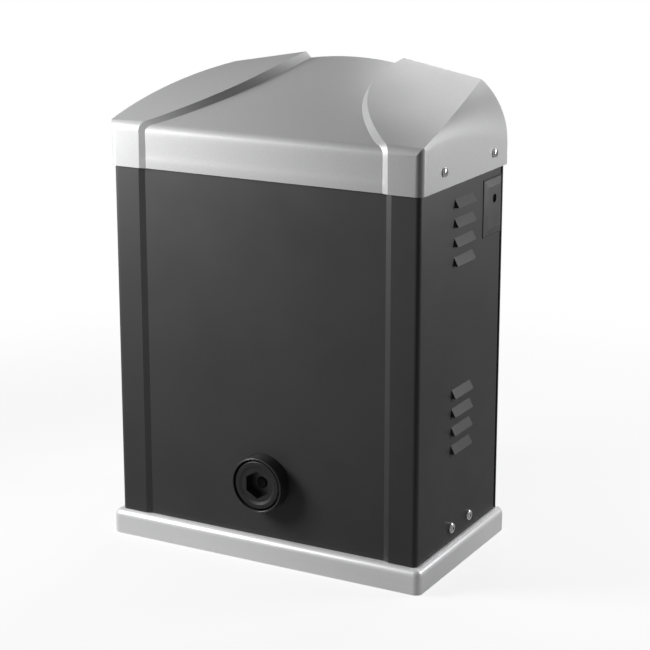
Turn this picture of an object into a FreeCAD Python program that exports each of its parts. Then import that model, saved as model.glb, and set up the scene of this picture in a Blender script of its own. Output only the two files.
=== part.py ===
"""Sliding gate motor: plinth, sheet-metal cabinet, moulded cap, worm drive, clutch release and controls.

Frame: +X to the right seen from the front, -Y towards the front, +Y towards the gate, +Z up. The origin is
the centre of the fixing slots, on the plinth's underside. All sizes are millimetres.
"""

import FreeCAD, Part
import math
import os
import re

import Sketcher
from FreeCAD import Vector

# --------------------------------------------------------------------------------------------------
# Driving dimensions. Each becomes one cell of the spreadsheet, and every feature is bound to the cells.
# --------------------------------------------------------------------------------------------------
SIZES = {
    # cabinet of folded sheet
    "cover_width": 302.0,
    "cover_depth": 168.0,
    "cover_height": 346.0,
    "gauge": 1.5,
    "bend_radius": 4.5,
    "strip_width": 26.4,
    "joggle_run": 5.6,
    "joggle_depth": 2.0,
    "return_flange": 18.0,
    # louvres in both sides
    "louvre_start": -17.0,
    "louvre_length": 37.0,
    "louvre_drop": 10.0,
    "louvre_rise": 4.0,
    "louvre_pitch": 16.9,
    "louvre_low_group": 104.6,
    "louvre_high_group": 273.3,
    # plinth
    "plinth_height": 22.0,
    "plinth_overhang": 6.5,
    "plinth_round": 6.0,
    "plinth_corner": 6.4,
    "plinth_web": 9.0,
    "plinth_wall": 13.0,
    "slot_spacing_long": 236.0,
    "slot_spacing_short": 120.0,
    "slot_length": 30.0,
    "slot_radius": 6.0,
    "cable_offset": 82.0,
    "cable_setback": -12.0,
    "grommet_radius": 20.0,
    "conduit_radius": 12.5,
    # moulded cap
    "cap_wall": 2.2,
    "cap_fit": 0.2,
    "cap_bottom": 345.0,
    "cap_skirt": 19.5,
    "cap_front_height": 385.6,
    "cap_rear_height": 433.0,
    "cap_roof_bulge": 7.8,
    "cap_step_front": 3.6,
    "cap_step_rear": 5.9,
    "cap_step_bulge": 1.8,
    "cap_shoulder": 11.0,
    "cap_band_centre": 116.5,
    "cap_band_width": 5.7,
    "cap_wing_rear": 48.0,
    "cap_wing_power": 2.8,
    "cap_lean": 25.0,
    "cap_lean_power": 1.72,
    "cap_lean_height": 52.7,
    "cap_crease_front": 385.0,
    "cap_crease_rise": 33.7,
    "cap_crease_bulge": 4.5,
    "cap_crown": 3.5,
    # cover and cap screws
    "cap_screw_front": -44.5,
    "cap_screw_rear": 58.0,
    "cap_screw_height": 359.5,
    "cap_screw_radius": 2.0,
    "cap_head_radius": 4.0,
    "cap_nut_radius": 3.2,
    "cover_screw_centre": 3.5,
    "cover_screw_pitch": 36.6,
    "cover_screw_height": 35.5,
    "cover_screw_radius": 2.5,
    "cover_head_radius": 4.75,
    "cover_nut_radius": 3.8,
    # worm drive
    "axis_height": 74.0,
    "gear_plane": 8.0,
    "worm_module": 2.5,
    "wheel_teeth": 30,
    "worm_pitch_radius": 14.0,
    "worm_turns": 6,
    "wheel_width": 24.0,
    "backlash": 0.3,
    # gearcase
    "case_wall": 6.0,
    "case_front": -30.0,
    "case_depth": 76.0,
    "case_right": 50.0,
    "case_top": 124.0,
    "case_floor": 8.0,
    "chamber_clearance": 4.0,
    "worm_bore_radius": 19.0,
    "flange_height": 134.0,
    "gasket_gauge": 1.0,
    "cover_plate": 8.0,
    # output line
    "shaft_radius": 15.0,
    "front_journal": 12.5,
    "rear_bearing_outer": 31.0,
    "rear_bearing_width": 16.0,
    "front_bearing_outer": 26.0,
    "front_bearing_width": 15.0,
    "running_fit": 0.05,
    "seal_width": 7.0,
    "pinion_module": 4.0,
    "pinion_teeth": 16,
    "pinion_width": 28.0,
    "pinion_standoff": 8.0,
    # release
    "collar_radius": 25.0,
    "collar_bore": 23.4,
    "collar_reach": 12.0,
    "hub_radius": 22.0,
    "hub_inset": 0.8,
    "socket_across_flats": 22.0,
    "socket_depth": 10.0,
    "rod_radius": 5.0,
    "clutch_travel": 1.5,
    # motor
    "rotor_radius": 38.0,
    "air_gap": 0.5,
    "stator_radius": 55.0,
    "stack_length": 72.0,
    "shell_wall": 5.0,
    "shell_height": 136.0,
    "shell_half": 67.0,
    "tie_bolt_offset": 55.0,
    # controls
    "bracket_gauge": 2.0,
    "bracket_plane": -44.0,
    "board_width": 104.0,
    "board_height": 160.0,
    "board_gauge": 1.6,
    "bracket_left": 28.0,
    "bracket_top": 336.0,
    "standoff_length": 7.0,
    # limit switch
    "limit_offset": 36.0,
    "limit_height": 168.0,
    "limit_shaft_radius": 4.0,
    "wand_length": 62.0,
    # lock
    "lock_setback": 60.3,
    "lock_below_cap": 26.0,
    "lock_plate_width": 36.0,
    "lock_plate_height": 50.0,
    "lock_plate_drop": 7.5,
    "lock_plate_rise": 2.6,
    "lock_plate_slope": 2.1,
    "lock_plate_chamfer": 6.2,
    "keyhole_radius": 4.0,
    "plug_radius": 6.0,
}

# Places that several pieces share, written in the spreadsheet's names.
HALF_WIDTH = "(cover_width / 2)"
INNER_X = "(cover_width / 2 - gauge)"
FRONT = "(-cover_depth / 2)"
REAR = "(cover_depth / 2)"
PANEL_FRONT = "(cover_depth / 2 - gauge)"
COVER_TOP = "(plinth_height + cover_height)"
WHEEL_RADIUS = "(worm_module * wheel_teeth / 2)"
WORM_X = "(-(worm_pitch_radius + worm_module * wheel_teeth / 2))"
CASE_REAR = "(case_front + case_depth)"
FACE = "(case_front - gasket_gauge)"
PLATE_FRONT = "(case_front - gasket_gauge - cover_plate)"
PINION_RADIUS = "(pinion_module * pinion_teeth / 2)"
PINION_START = "(cover_depth / 2 + pinion_standoff)"
SHELL_TOP = "(flange_height + shell_height)"
CAP_HALF = "(cover_width / 2 + cap_fit + cap_wall)"
CAP_FRONT = "(-cover_depth / 2 - cap_fit - cap_wall)"
SKIRT_TOP = "(cap_bottom + cap_skirt)"
LOCK_HEIGHT = "(cap_bottom - lock_below_cap)"

doc = FreeCAD.newDocument("GateMotor")
sheet = doc.addObject("Spreadsheet::Sheet", "Sizes")
for row, (alias, number) in enumerate(SIZES.items(), start=1):
    sheet.set(f"A{row}", alias)
    sheet.set(f"B{row}", str(number))
    sheet.setAlias(f"B{row}", alias)
doc.recompute()

NAMES = re.compile(r"\b(" + "|".join(SIZES) + r")\b")
nodes = {}


# --------------------------------------------------------------------------------------------------
# Modelling helpers
# --------------------------------------------------------------------------------------------------
def cell(text):
    """Return an expression with every size name pointing at its spreadsheet cell."""
    return NAMES.sub(r"Sizes.\1", str(text))


def value(text):
    """Return the number an expression gives with the present sizes."""
    return float(sheet.evalExpression(cell(text)))


def new_body(label, x="0", y="0", z="0"):
    """Start a sub-part whose origin is bound to the given place, and register it as a node."""
    body = doc.addObject("PartDesign::Body", label)
    body.Label = label
    for coordinate, text in (("x", x), ("y", y), ("z", z)):
        body.setExpression(f"Placement.Base.{coordinate}", cell(text))
    nodes[label] = body
    return body


def origin_feature(body, role):
    """Return one of the body's own origin planes or axes."""
    return next(item for item in body.Origin.OriginFeatures if item.Role == role)


def new_sketch(body, plane, at="0", angle="0"):
    """Start a sketch on plane XY, XZ or YZ, moved to the coordinate `at` along the plane's normal axis."""
    sketch = body.newObject("Sketcher::SketchObject", f"{body.Label}_sketch")
    sketch.AttachmentSupport = [(origin_feature(body, plane + "_Plane"), "")]
    sketch.MapMode = "FlatFace"
    sign = "-" if plane == "XZ" else ""
    sketch.setExpression("AttachmentOffset.Base.z", f"{sign}({cell(at)})")
    if angle != "0":
        sketch.setExpression("AttachmentOffset.Rotation.Angle", cell(angle))
    return sketch


def pin(sketch, geometry, point, u, v):
    """Fix one point of a sketch at a place bound to the sizes."""
    for kind, text in (("DistanceX", u), ("DistanceY", v)):
        number = sketch.addConstraint(Sketcher.Constraint(kind, -1, 1, geometry, point, value(text)))
        sketch.setExpression(f"Constraints[{number}]", cell(text))


def polygon(*points):
    """Closed outline of straight edges through the given (u, v) points."""
    def draw(sketch):
        first = sketch.GeometryCount
        corners = [Vector(value(u), value(v), 0) for u, v in points]
        count = len(corners)
        for index in range(count):
            sketch.addGeometry(Part.LineSegment(corners[index], corners[(index + 1) % count]))
        for index in range(count):
            after = first + (index + 1) % count
            sketch.addConstraint(Sketcher.Constraint("Coincident", first + index, 2, after, 1))
        for index, (u, v) in enumerate(points):
            pin(sketch, first + index, 1, u, v)
    return draw


def box(left, bottom, right, top):
    """Rectangle given by two corners."""
    return polygon((left, bottom), (right, bottom), (right, top), (left, top))


def centred(u, v, width, height):
    """Rectangle given by its centre."""
    return box(f"({u}) - ({width}) / 2", f"({v}) - ({height}) / 2",
               f"({u}) + ({width}) / 2", f"({v}) + ({height}) / 2")


def circle(u, v, radius):
    """Full circle."""
    def draw(sketch):
        number = sketch.addGeometry(Part.Circle(Vector(value(u), value(v), 0), Vector(0, 0, 1), value(radius)))
        pin(sketch, number, 3, u, v)
        held = sketch.addConstraint(Sketcher.Constraint("Radius", number, value(radius)))
        sketch.setExpression(f"Constraints[{held}]", cell(radius))
    return draw


def slot(u, v, length, radius):
    """Slot with round ends that runs along the sketch's first axis."""
    reach = f"(({length}) / 2 - ({radius}))"
    left, right = f"({u}) - {reach}", f"({u}) + {reach}"
    low, high = f"({v}) - ({radius})", f"({v}) + ({radius})"

    def draw(sketch):
        x0, x1, y0, y1 = value(left), value(right), value(low), value(high)
        middle, size = value(v), value(radius)
        first = sketch.GeometryCount
        sketch.addGeometry(Part.LineSegment(Vector(x0, y0, 0), Vector(x1, y0, 0)))
        sketch.addGeometry(Part.Arc(Vector(x1, y0, 0), Vector(x1 + size, middle, 0), Vector(x1, y1, 0)))
        sketch.addGeometry(Part.LineSegment(Vector(x1, y1, 0), Vector(x0, y1, 0)))
        sketch.addGeometry(Part.Arc(Vector(x0, y1, 0), Vector(x0 - size, middle, 0), Vector(x0, y0, 0)))
        for index in range(4):
            after = first + (index + 1) % 4
            sketch.addConstraint(Sketcher.Constraint("Coincident", first + index, 2, after, 1))
        for line, (a, b) in ((first, ((left, low), (right, low))), (first + 2, ((right, high), (left, high)))):
            pin(sketch, line, 1, *a)
            pin(sketch, line, 2, *b)
        for arc, where in ((first + 1, right), (first + 3, left)):
            held = sketch.addConstraint(Sketcher.Constraint("DistanceX", -1, 1, arc, 3, value(where)))
            sketch.setExpression(f"Constraints[{held}]", cell(where))
    return draw


def hexagon(u, v, across_flats):
    """Regular hexagon with two corners up and down."""
    reach = f"({across_flats}) / sqrt(3)"
    corners = [(f"({u}) + {reach} * cos({angle})", f"({v}) + {reach} * sin({angle})")
               for angle in range(30, 390, 60)]
    return polygon(*corners)


def prism(kind, body, plane, low, high, *outlines, angle="0"):
    """Pad or pocket the outlines between two coordinates along the plane's normal axis."""
    along_normal = (plane != "XZ") == (kind == "Pad")
    before = body_volume(body)
    sketch = new_sketch(body, plane, low if along_normal else high, angle)
    for draw in outlines:
        draw(sketch)
    feature = body.newObject(f"PartDesign::{kind}", f"{body.Label}_{kind.lower()}")
    feature.Profile = sketch
    feature.setExpression("Length", cell(f"({high}) - ({low})"))
    doc.recompute()
    changed = feature.Shape.Volume - before
    if changed * (1 if kind == "Pad" else -1) <= 0:
        raise RuntimeError(f"{feature.Name} changed nothing")
    return feature


def pad(body, plane, low, high, *outlines, angle="0"):
    """Add material between two coordinates."""
    return prism("Pad", body, plane, low, high, *outlines, angle=angle)


def pocket(body, plane, low, high, *outlines, angle="0"):
    """Remove material between two coordinates."""
    return prism("Pocket", body, plane, low, high, *outlines, angle=angle)


def body_volume(body):
    """Volume of the body's last finished feature, zero for a new body."""
    return body.Tip.Shape.Volume if body.Tip is not None else 0.0


TURNING = {"X": ("XY", False), "Y": ("YZ", False), "Z": ("XZ", True)}


def turn(body, axis, *outlines, cut=False):
    """Revolve outlines of (along, radius) points about the body's own X, Y or Z axis."""
    plane, swap = TURNING[axis]
    before = body_volume(body)
    sketch = new_sketch(body, plane)
    for outline in outlines:
        points = [(radius, along) if swap else (along, radius) for along, radius in outline]
        polygon(*points)(sketch)
    kind = "Groove" if cut else "Revolution"
    feature = body.newObject(f"PartDesign::{kind}", f"{body.Label}_{kind.lower()}")
    feature.Profile = sketch
    feature.ReferenceAxis = (origin_feature(body, axis + "_Axis"), [""])
    feature.Angle = 360
    doc.recompute()
    if (feature.Shape.Volume - before) * (-1 if cut else 1) <= 0:
        raise RuntimeError(f"{feature.Name} changed nothing")
    return feature


def tube(start, end, inner, outer):
    """Outline of a plain ring for turn()."""
    return [(start, inner), (end, inner), (end, outer), (start, outer)]


def loft(body, kind, plane, *stages):
    """Additive or subtractive ruled loft through (coordinate, outline) or (coordinate, outline, angle) stages."""
    sketches = []
    for at, draw, *angle in stages:
        sketches.append(new_sketch(body, plane, at, *angle))
        draw(sketches[-1])
    feature = body.newObject(f"PartDesign::{kind}Loft", f"{body.Label}_loft")
    feature.Profile = sketches[0]
    feature.Sections = sketches[1:]
    feature.Ruled = True
    doc.recompute()
    return feature


def polar(body, feature, axis, count):
    """Repeat a feature evenly round one of the body's own axes."""
    pattern = body.newObject("PartDesign::PolarPattern", f"{body.Label}_polar")
    pattern.Originals = [feature]
    pattern.Axis = (origin_feature(body, axis + "_Axis"), [""])
    pattern.Angle = 360
    pattern.setExpression("Occurrences", cell(count))
    body.Tip = pattern
    doc.recompute()
    return pattern


def round_edges(body, radius, chosen, kind="Fillet"):
    """Fillet or chamfer the edges of the last feature that the test picks."""
    base = body.Tip
    names = [f"Edge{number}" for number, edge in enumerate(base.Shape.Edges, start=1) if chosen(edge)]
    if not names:
        raise RuntimeError(f"{body.Label} has no edge to round")
    feature = body.newObject(f"PartDesign::{kind}", f"{body.Label}_{kind.lower()}")
    feature.Base = (base, names)
    feature.setExpression("Radius" if kind == "Fillet" else "Size", cell(radius))
    body.Tip = feature
    doc.recompute()
    return feature


def near(number, text, slack=0.01):
    """Whether a measured number is at the place an expression gives."""
    return abs(number - value(text)) < slack


def runs_along(edge, axis):
    """Whether an edge is a straight line along X, Y or Z."""
    bounds = edge.BoundBox
    sizes = {"X": bounds.XLength, "Y": bounds.YLength, "Z": bounds.ZLength}
    length = sizes.pop(axis)
    return length > 0.5 and max(sizes.values()) < 1e-6


def lies_at(edge, axis, text):
    """Whether the whole edge lies at one coordinate of X, Y or Z."""
    bounds = edge.BoundBox
    low, high = {"X": (bounds.XMin, bounds.XMax), "Y": (bounds.YMin, bounds.YMax),
                 "Z": (bounds.ZMin, bounds.ZMax)}[axis]
    return near(low, text) and near(high, text)


# --------------------------------------------------------------------------------------------------
# Plinth
# --------------------------------------------------------------------------------------------------
PLINTH_X = "(cover_width / 2 + plinth_overhang)"
PLINTH_Y = "(cover_depth / 2 + plinth_overhang)"
CAVITY_X = "(slot_spacing_long / 2 - slot_length / 2 - 8)"
FIXINGS = [(f"{i} * slot_spacing_long / 2", f"{j} * slot_spacing_short / 2") for i in (-1, 1) for j in (-1, 1)]
CASE_BOLTS = [("-72", "-18"), ("-72", "58"), ("42", "-18"), ("42", "58")]


def make_plinth():
    """Cast plinth: rounded top edge, slotted fixing holes, ribbed underside and a cable hole."""
    body = new_body("base_plinth")
    pad(body, "XY", "0", "plinth_height", box(f"-{PLINTH_X}", f"-{PLINTH_Y}", PLINTH_X, PLINTH_Y))
    round_edges(body, "plinth_corner", lambda edge: runs_along(edge, "Z"))
    round_edges(body, "plinth_round", lambda edge: lies_at(edge, "Z", "plinth_height"))
    rib, inside = "4", f"{PLINTH_Y} - plinth_wall"
    pocket(body, "XY", "0", "plinth_height - plinth_web",
           box(f"-{CAVITY_X}", f"-({inside})", f"-{rib}", inside),
           box(rib, f"-({inside})", "cable_offset - grommet_radius - 6", inside))
    pocket(body, "XY", "0", "plinth_height",
           *[slot(x, y, "slot_length", "slot_radius") for x, y in FIXINGS],
           circle("cable_offset", "cable_setback", "grommet_radius - 3"),
           *[circle(x, y, "4.2") for x, y in CASE_BOLTS])
    pocket(body, "XY", "plinth_height - 4", "plinth_height",
           circle("cable_offset", "cable_setback", "grommet_radius"))


def make_grommet():
    """Rubber grommet whose lip seats in the counterbore of the cable hole."""
    body = new_body("cable_grommet", "cable_offset", "cable_setback")
    seat, lip = "grommet_radius - 0.1", "plinth_height - 3.9"
    turn(body, "Z", [("4", "conduit_radius"), ("plinth_height + 3", "conduit_radius"),
                     ("plinth_height + 3", "conduit_radius + 2"), ("plinth_height", seat),
                     (lip, seat), (lip, "grommet_radius - 3.1"), ("4", "grommet_radius - 3.1")])


# --------------------------------------------------------------------------------------------------
# Cabinet
# --------------------------------------------------------------------------------------------------
STRIP = f"({HALF_WIDTH} - strip_width)"
PANEL = f"({HALF_WIDTH} - strip_width - joggle_run)"
FOLD = "(gauge * joggle_depth / joggle_run / 2)"


def cover_outline():
    """Plan of the folded cover: two sides with return flanges, two proud strips, recessed centre."""
    joggled = f"({FRONT} + joggle_depth)"
    flange = f"({HALF_WIDTH} - return_flange)"
    outer = [(flange, PANEL_FRONT), (HALF_WIDTH, PANEL_FRONT), (HALF_WIDTH, FRONT), (STRIP, FRONT), (PANEL, joggled)]
    inner = [(flange, f"{PANEL_FRONT} - gauge"), (INNER_X, f"{PANEL_FRONT} - gauge"), (INNER_X, f"{FRONT} + gauge"),
             (f"{STRIP} + {FOLD}", f"{FRONT} + gauge"), (f"{PANEL} + {FOLD}", f"{joggled} + gauge")]
    left = [(f"-{x}", y) for x, y in reversed(outer)]
    left_inner = [(f"-({x})", y) for x, y in inner]
    return polygon(*outer, *left, *left_inner, *reversed(inner))


def louvre_profiles(side, inner):
    """Triangular sections of the eight hoods of one side, or of the hollows behind them."""
    back = f"({INNER_X} - 0.5)" if inner else f"({INNER_X} + 0.2)"
    reach = f"({HALF_WIDTH} + louvre_rise - gauge)" if inner else f"({HALF_WIDTH} + louvre_rise)"
    top = "louvre_drop - gauge" if inner else "louvre_drop"
    profiles = []
    for group in ("louvre_low_group", "louvre_high_group"):
        for number in range(4):
            edge = f"({group} + {number} * louvre_pitch)"
            low = f"{edge} - 0.5" if inner else edge
            profiles.append(polygon((f"{side} * {back}", low), (f"{side} * {reach}", low),
                                    (f"{side} * {back}", f"{edge} + {top}")))
    return profiles


def make_front_cover():
    """Front and sides of the cabinet in one folded sheet with pressed louvres."""
    body = new_body("front_cover")
    pad(body, "XY", "plinth_height", COVER_TOP, cover_outline())
    corners = [(x, y) for x in (HALF_WIDTH, f"-{HALF_WIDTH}") for y in (FRONT, PANEL_FRONT)]
    inside = [(x, y) for x in (INNER_X, f"-{INNER_X}") for y in (f"{FRONT} + gauge", f"{PANEL_FRONT} - gauge")]
    for radius, places in (("bend_radius", corners), ("bend_radius - gauge", inside)):
        round_edges(body, radius, lambda edge: runs_along(edge, "Z") and any(
            lies_at(edge, "X", x) and lies_at(edge, "Y", y) for x, y in places))
    end = "louvre_start + louvre_length"
    pad(body, "XZ", "louvre_start", end, *louvre_profiles("1", False), *louvre_profiles("-1", False))
    pocket(body, "XZ", "louvre_start + gauge", f"{end} - gauge",
           *louvre_profiles("1", True), *louvre_profiles("-1", True))
    pocket(body, "XZ", FRONT, f"{FRONT} + 10", circle("0", "axis_height", "collar_radius + 0.3"))
    pocket(body, "YZ", f"-{HALF_WIDTH} - 1", f"{HALF_WIDTH} + 1",
           *[circle(y, "cap_screw_height", "cap_nut_radius") for y in ("cap_screw_front", "cap_screw_rear")],
           *[circle(y, "cover_screw_height", "cover_nut_radius") for y in COVER_SCREWS])
    pocket(body, "YZ", "0", f"{HALF_WIDTH} + 1", circle("lock_setback", LOCK_HEIGHT, "plug_radius + 3.1"))
    pocket(body, "XZ", f"{PANEL_FRONT} - gauge", PANEL_FRONT, *[circle(x, z, "2.1") for x, z in PANEL_SCREWS])


COVER_SCREWS = [f"(cover_screw_centre + {side} * cover_screw_pitch / 2)" for side in (-1, 1)]
PANEL_SCREWS = [(f"{i} * ({HALF_WIDTH} - return_flange / 2)", f"{z}")
                for i in (-1, 1) for z in ("plinth_height + 25", "plinth_height + 165", "plinth_height + 300")]


def make_rear_panel():
    """Flat rear sheet with the apertures for the gearcase boss and the limit-switch shaft."""
    body = new_body("rear_panel")
    pad(body, "XZ", PANEL_FRONT, REAR, box(f"-{HALF_WIDTH}", "plinth_height", HALF_WIDTH, COVER_TOP))
    pocket(body, "XZ", PANEL_FRONT, REAR, circle("0", "axis_height", "rear_bearing_outer + case_wall + 3.5"),
           circle("limit_offset", "limit_height", "limit_shaft_radius + 5"),
           *[circle(x, z, "2.6") for x, z in PANEL_SCREWS])


# --------------------------------------------------------------------------------------------------
# Moulded cap: a roof that rises to the rear, with two proud wings either side of a lower centre
# --------------------------------------------------------------------------------------------------
def arched(share, front, rear, bulge):
    """Height of a line from front to rear that bulges in the middle; share runs from 0 to 1."""
    return front + (rear - front) * share + 4 * bulge * share * (1 - share)


def shouldered(front, roof, slope, radius, far):
    """YZ wire round everything in front of and above a vertical face, a shoulder arc and a roof line."""
    pitch = math.atan(slope)
    tangent = radius / math.tan((math.pi / 2 + pitch) / 2)
    start = Vector(0, front, roof - tangent)
    end = Vector(0, front + tangent * math.cos(pitch), roof + tangent * math.sin(pitch))
    middle_turn = math.pi * 0.75 + pitch / 2
    middle = Vector(0, front + radius + radius * math.cos(middle_turn), start.z + radius * math.sin(middle_turn))
    back = Vector(0, far, end.z + slope * (far - end.y))
    corners = [back, Vector(0, far, 2 * roof), Vector(0, 2 * front, 2 * roof), Vector(0, 2 * front, 0),
               Vector(0, front, 0), start]
    lines = [Part.makeLine(a, b) for a, b in zip(corners, corners[1:])]
    return Part.Wire([*lines, Part.Arc(start, middle, end).toShape(), Part.makeLine(end, back)])


def share(y):
    """Part of the cabinet's depth that lies in front of y, from 0 to 1."""
    return (y - value(FRONT)) / value("cover_depth")


def wing_height(y):
    """Roof height beside the step."""
    return arched(share(y), value("cap_front_height"), value("cap_rear_height"), value("cap_roof_bulge"))


def step_depth(y):
    """How far the centre of the roof lies below the wings."""
    return arched(share(y), value("cap_step_front"), value("cap_step_rear"), value("cap_step_bulge"))


def wing_edge(y):
    """Half width of the lowered centre, widest at the front."""
    flare = max(0.0, 1 - share(y)) ** value("cap_wing_power")
    return value("cap_wing_rear") + (value("cap_band_centre") - value("cap_wing_rear")) * flare


def crease(y):
    """Place (x, z) of the crease between wing and side, and the height of the curved side below it."""
    leaning = max(share(y), 0.0)
    x = value(CAP_HALF) - 0.6 - value("cap_lean") * leaning ** value("cap_lean_power")
    first = value("cap_crease_front")
    z = arched(share(y), first, first + value("cap_crease_rise"), value("cap_crease_bulge"))
    return x, z, 5.0 + (value("cap_lean_height") - 5.0) * leaning ** 1.3


def closed(points, arcs=()):
    """Wire of straight edges through the points; arcs maps an edge's number to its middle point."""
    edges = []
    for number, start in enumerate(points):
        end = points[(number + 1) % len(points)]
        middle = dict(arcs).get(number)
        edges.append(Part.Arc(start, middle, end).toShape() if middle else Part.makeLine(start, end))
    return Part.Wire(edges)


def both_sides(points):
    """Outline that is symmetric in X, from the points of its right half taken upwards."""
    return [*points, *[Vector(-point.x, point.y, point.z) for point in reversed(points)]]


def cap_section(y):
    """Section across the cap above its skirt, with the side arcs, before the centre is lowered."""
    half, bottom = value(CAP_HALF), value(SKIRT_TOP)
    x, z, tall = crease(y)
    across = half - x
    radius = (across ** 2 + tall ** 2) / (2 * across)
    turned = math.asin(tall / radius) / 2
    knee = Vector(half - radius * (1 - math.cos(turned)), y, z - tall + radius * math.sin(turned))
    peak = z + (wing_height(y) - z) / (x - wing_edge(y)) * x
    right = [Vector(half, y, bottom), Vector(half, y, z - tall), Vector(x, y, z)]
    left = [Vector(-point.x, y, point.z) for point in reversed(right)]
    return closed([*right, Vector(0, y, peak), *left], ((1, knee), (4, Vector(-knee.x, y, knee.z))))


def shoulder_tool(face, roof, slope):
    """Solid to cut away so that a front face and a roof meet in the shoulder radius."""
    start = roof + slope * (face - value(FRONT))
    outline = shouldered(face, start, slope, value("cap_shoulder"), 0.0)
    width = 2 * value(CAP_HALF)
    return Part.Face(outline).extrude(Vector(2 * width, 0, 0)).translated(Vector(-width, 0, 0))


def arched_slope(place, first, last, bulge):
    """Slope towards the rear of an arched() line."""
    return (value(last) - value(first) + 4 * value(bulge) * (1 - 2 * place)) / value("cover_depth")


def roof_slope(y):
    """Slope towards the rear of the wings' roof line."""
    return arched_slope(share(y), "cap_front_height", "cap_rear_height", "cap_roof_bulge")


def groove_section(y, z, angle, depth):
    """Section of the lowered centre at a point of the wings' profile, square to it, with sloping sides.

    The angle is that of the outward direction, 0 where it points forwards and a right angle where it points up.
    """
    edge, rest = wing_edge(y), max(0.0, 1 - share(y)) ** (value("cap_wing_power") - 1)
    flare = (value("cap_band_centre") - value("cap_wing_rear")) * value("cap_wing_power") * rest
    half = value("cap_band_width") / 2 * math.hypot(1, flare / value("cover_depth") * math.sin(angle))
    crown = value("cap_crown") * max(share(y), 0.015)

    def at(x, height):
        return Vector(x, y - height * math.cos(angle), z + height * math.sin(angle))

    right = [at(edge - half, -depth), at(edge + 3 * half, depth), at(edge + 3 * half, value("cap_shoulder") * 2)]
    left = [Vector(-point.x, point.y, point.z) for point in reversed(right)]
    return closed([*right, *left], ((5, at(0, crown - depth)),))


def centre_groove():
    """Solid to cut away above the lowered centre: up the front face, round the shoulder and over the roof."""
    front, radius, depth = value(CAP_FRONT), value("cap_shoulder"), value("joggle_depth")
    pitch = math.atan(roof_slope(value(FRONT)))
    tangent = radius / math.tan((math.pi / 2 + pitch) / 2)
    roof = wing_height(value(FRONT)) + math.tan(pitch) * (front - value(FRONT))
    bend = roof - tangent
    bottom = value("cap_bottom") - radius
    sections = [groove_section(front, bottom + (bend - bottom) * number / 4, 0.0, depth) for number in range(4)]
    turned, deeper = math.pi / 2 - pitch, step_depth(value(FRONT)) * math.cos(pitch) - depth
    for number in range(5):
        part = number / 4
        angle = turned * part
        sections.append(groove_section(front + radius * (1 - math.cos(angle)), bend + radius * math.sin(angle),
                                       angle, depth + deeper * part))
    start = front + tangent * math.cos(pitch)
    stride = (radius - front - start) / 8
    for number in range(1, 9):
        y = start + stride * number
        pitch = math.atan(roof_slope(y))
        sections.append(groove_section(y, wing_height(y), math.pi / 2 - pitch, step_depth(y) * math.cos(pitch)))
    return Part.makeLoft(sections, True, False)


def cap_form():
    """Solid outer form of the cap."""
    front, rear = value(CAP_FRONT), -value(CAP_FRONT)
    span = rear - front
    form = Part.makeLoft([cap_section(front + span * number / 6) for number in range(7)], True, False)
    corner = Vector(-value(CAP_HALF), front, value("cap_bottom"))
    form = form.fuse(Part.makeBox(-2 * corner.x, span, value("cap_skirt"), corner))
    form = form.cut(shoulder_tool(front, value("cap_front_height") + 0.02, roof_slope(value(FRONT))))
    return form.cut(centre_groove())


def hollow_section(y, drop):
    """Plain section of the space under the cap."""
    wall = value("cap_wall")
    x, z, tall = crease(y)
    half, low = value(CAP_HALF) - wall, wing_height(y) - step_depth(y) - 1.4 * wall - drop
    side = min(z - tall, low - wall)
    return closed(both_sides([
        Vector(half, y, value(SKIRT_TOP)), Vector(half, y, side),
        Vector(x - 1.5 * wall, y, max(min(z - 1.8 * wall - drop, low), side + 0.5)), Vector(wing_edge(y), y, low)]))


def cap_hollow():
    """Space under the cap, kept a wall's thickness or a little more inside the outer form."""
    wall, shoulder = value("cap_wall"), value("cap_shoulder")
    first = value(CAP_FRONT) + value("joggle_depth") + wall
    last = -value(CAP_FRONT) - wall
    stations = [(first, shoulder), (first + shoulder, 0.0), ((first + last) / 2, 0.0), (last, 0.0)]
    roof = Part.makeLoft([hollow_section(y, drop) for y, drop in stations], True, True)
    half, step = value(CAP_HALF) - wall, value("cap_band_centre") + wall
    bottom = value("cap_bottom") - wall
    tall = value(COVER_TOP) + value("cap_fit") - bottom
    skirt = Part.makeBox(2 * half, last - first, tall, Vector(-half, first, bottom))
    corners = [Part.makeBox(half - step, value("joggle_depth"), tall, Vector(x, first - value("joggle_depth"), bottom))
               for x in (-half, step)]
    return roof.fuse([skirt, *corners])


def along_x(radius, y, z, start, end):
    """Cylinder parallel to X between two coordinates."""
    return Part.makeCylinder(radius, end - start, Vector(start, y, z), Vector(1, 0, 0))


def make_cap():
    """Hollow cap: the outer form less the same form set in by the wall, with its screw holes."""
    cap = doc.addObject("Part::Feature", "top_cap")
    cap.Label = "top_cap"
    shell = cap_form().cut(cap_hollow())
    reach = value("cover_width")
    for y in (value("cap_screw_front"), value("cap_screw_rear")):
        shell = shell.cut(along_x(value("cap_screw_radius") + 0.3, y, value("cap_screw_height"), -reach, reach))
    cap.Shape = shell
    cap.Placement = FreeCAD.Placement()
    nodes["top_cap"] = cap


# --------------------------------------------------------------------------------------------------
# Fasteners and brackets of the cabinet
# --------------------------------------------------------------------------------------------------
SIDE_SCREWS = (
    ([("cap_screw_front", "cap_screw_height"), ("cap_screw_rear", "cap_screw_height")],
     CAP_HALF, "cap_head_radius", "cap_screw_radius", "cap_nut_radius"),
    ([(y, "cover_screw_height") for y in COVER_SCREWS],
     HALF_WIDTH, "cover_head_radius", "cover_screw_radius", "cover_nut_radius"),
)


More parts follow.
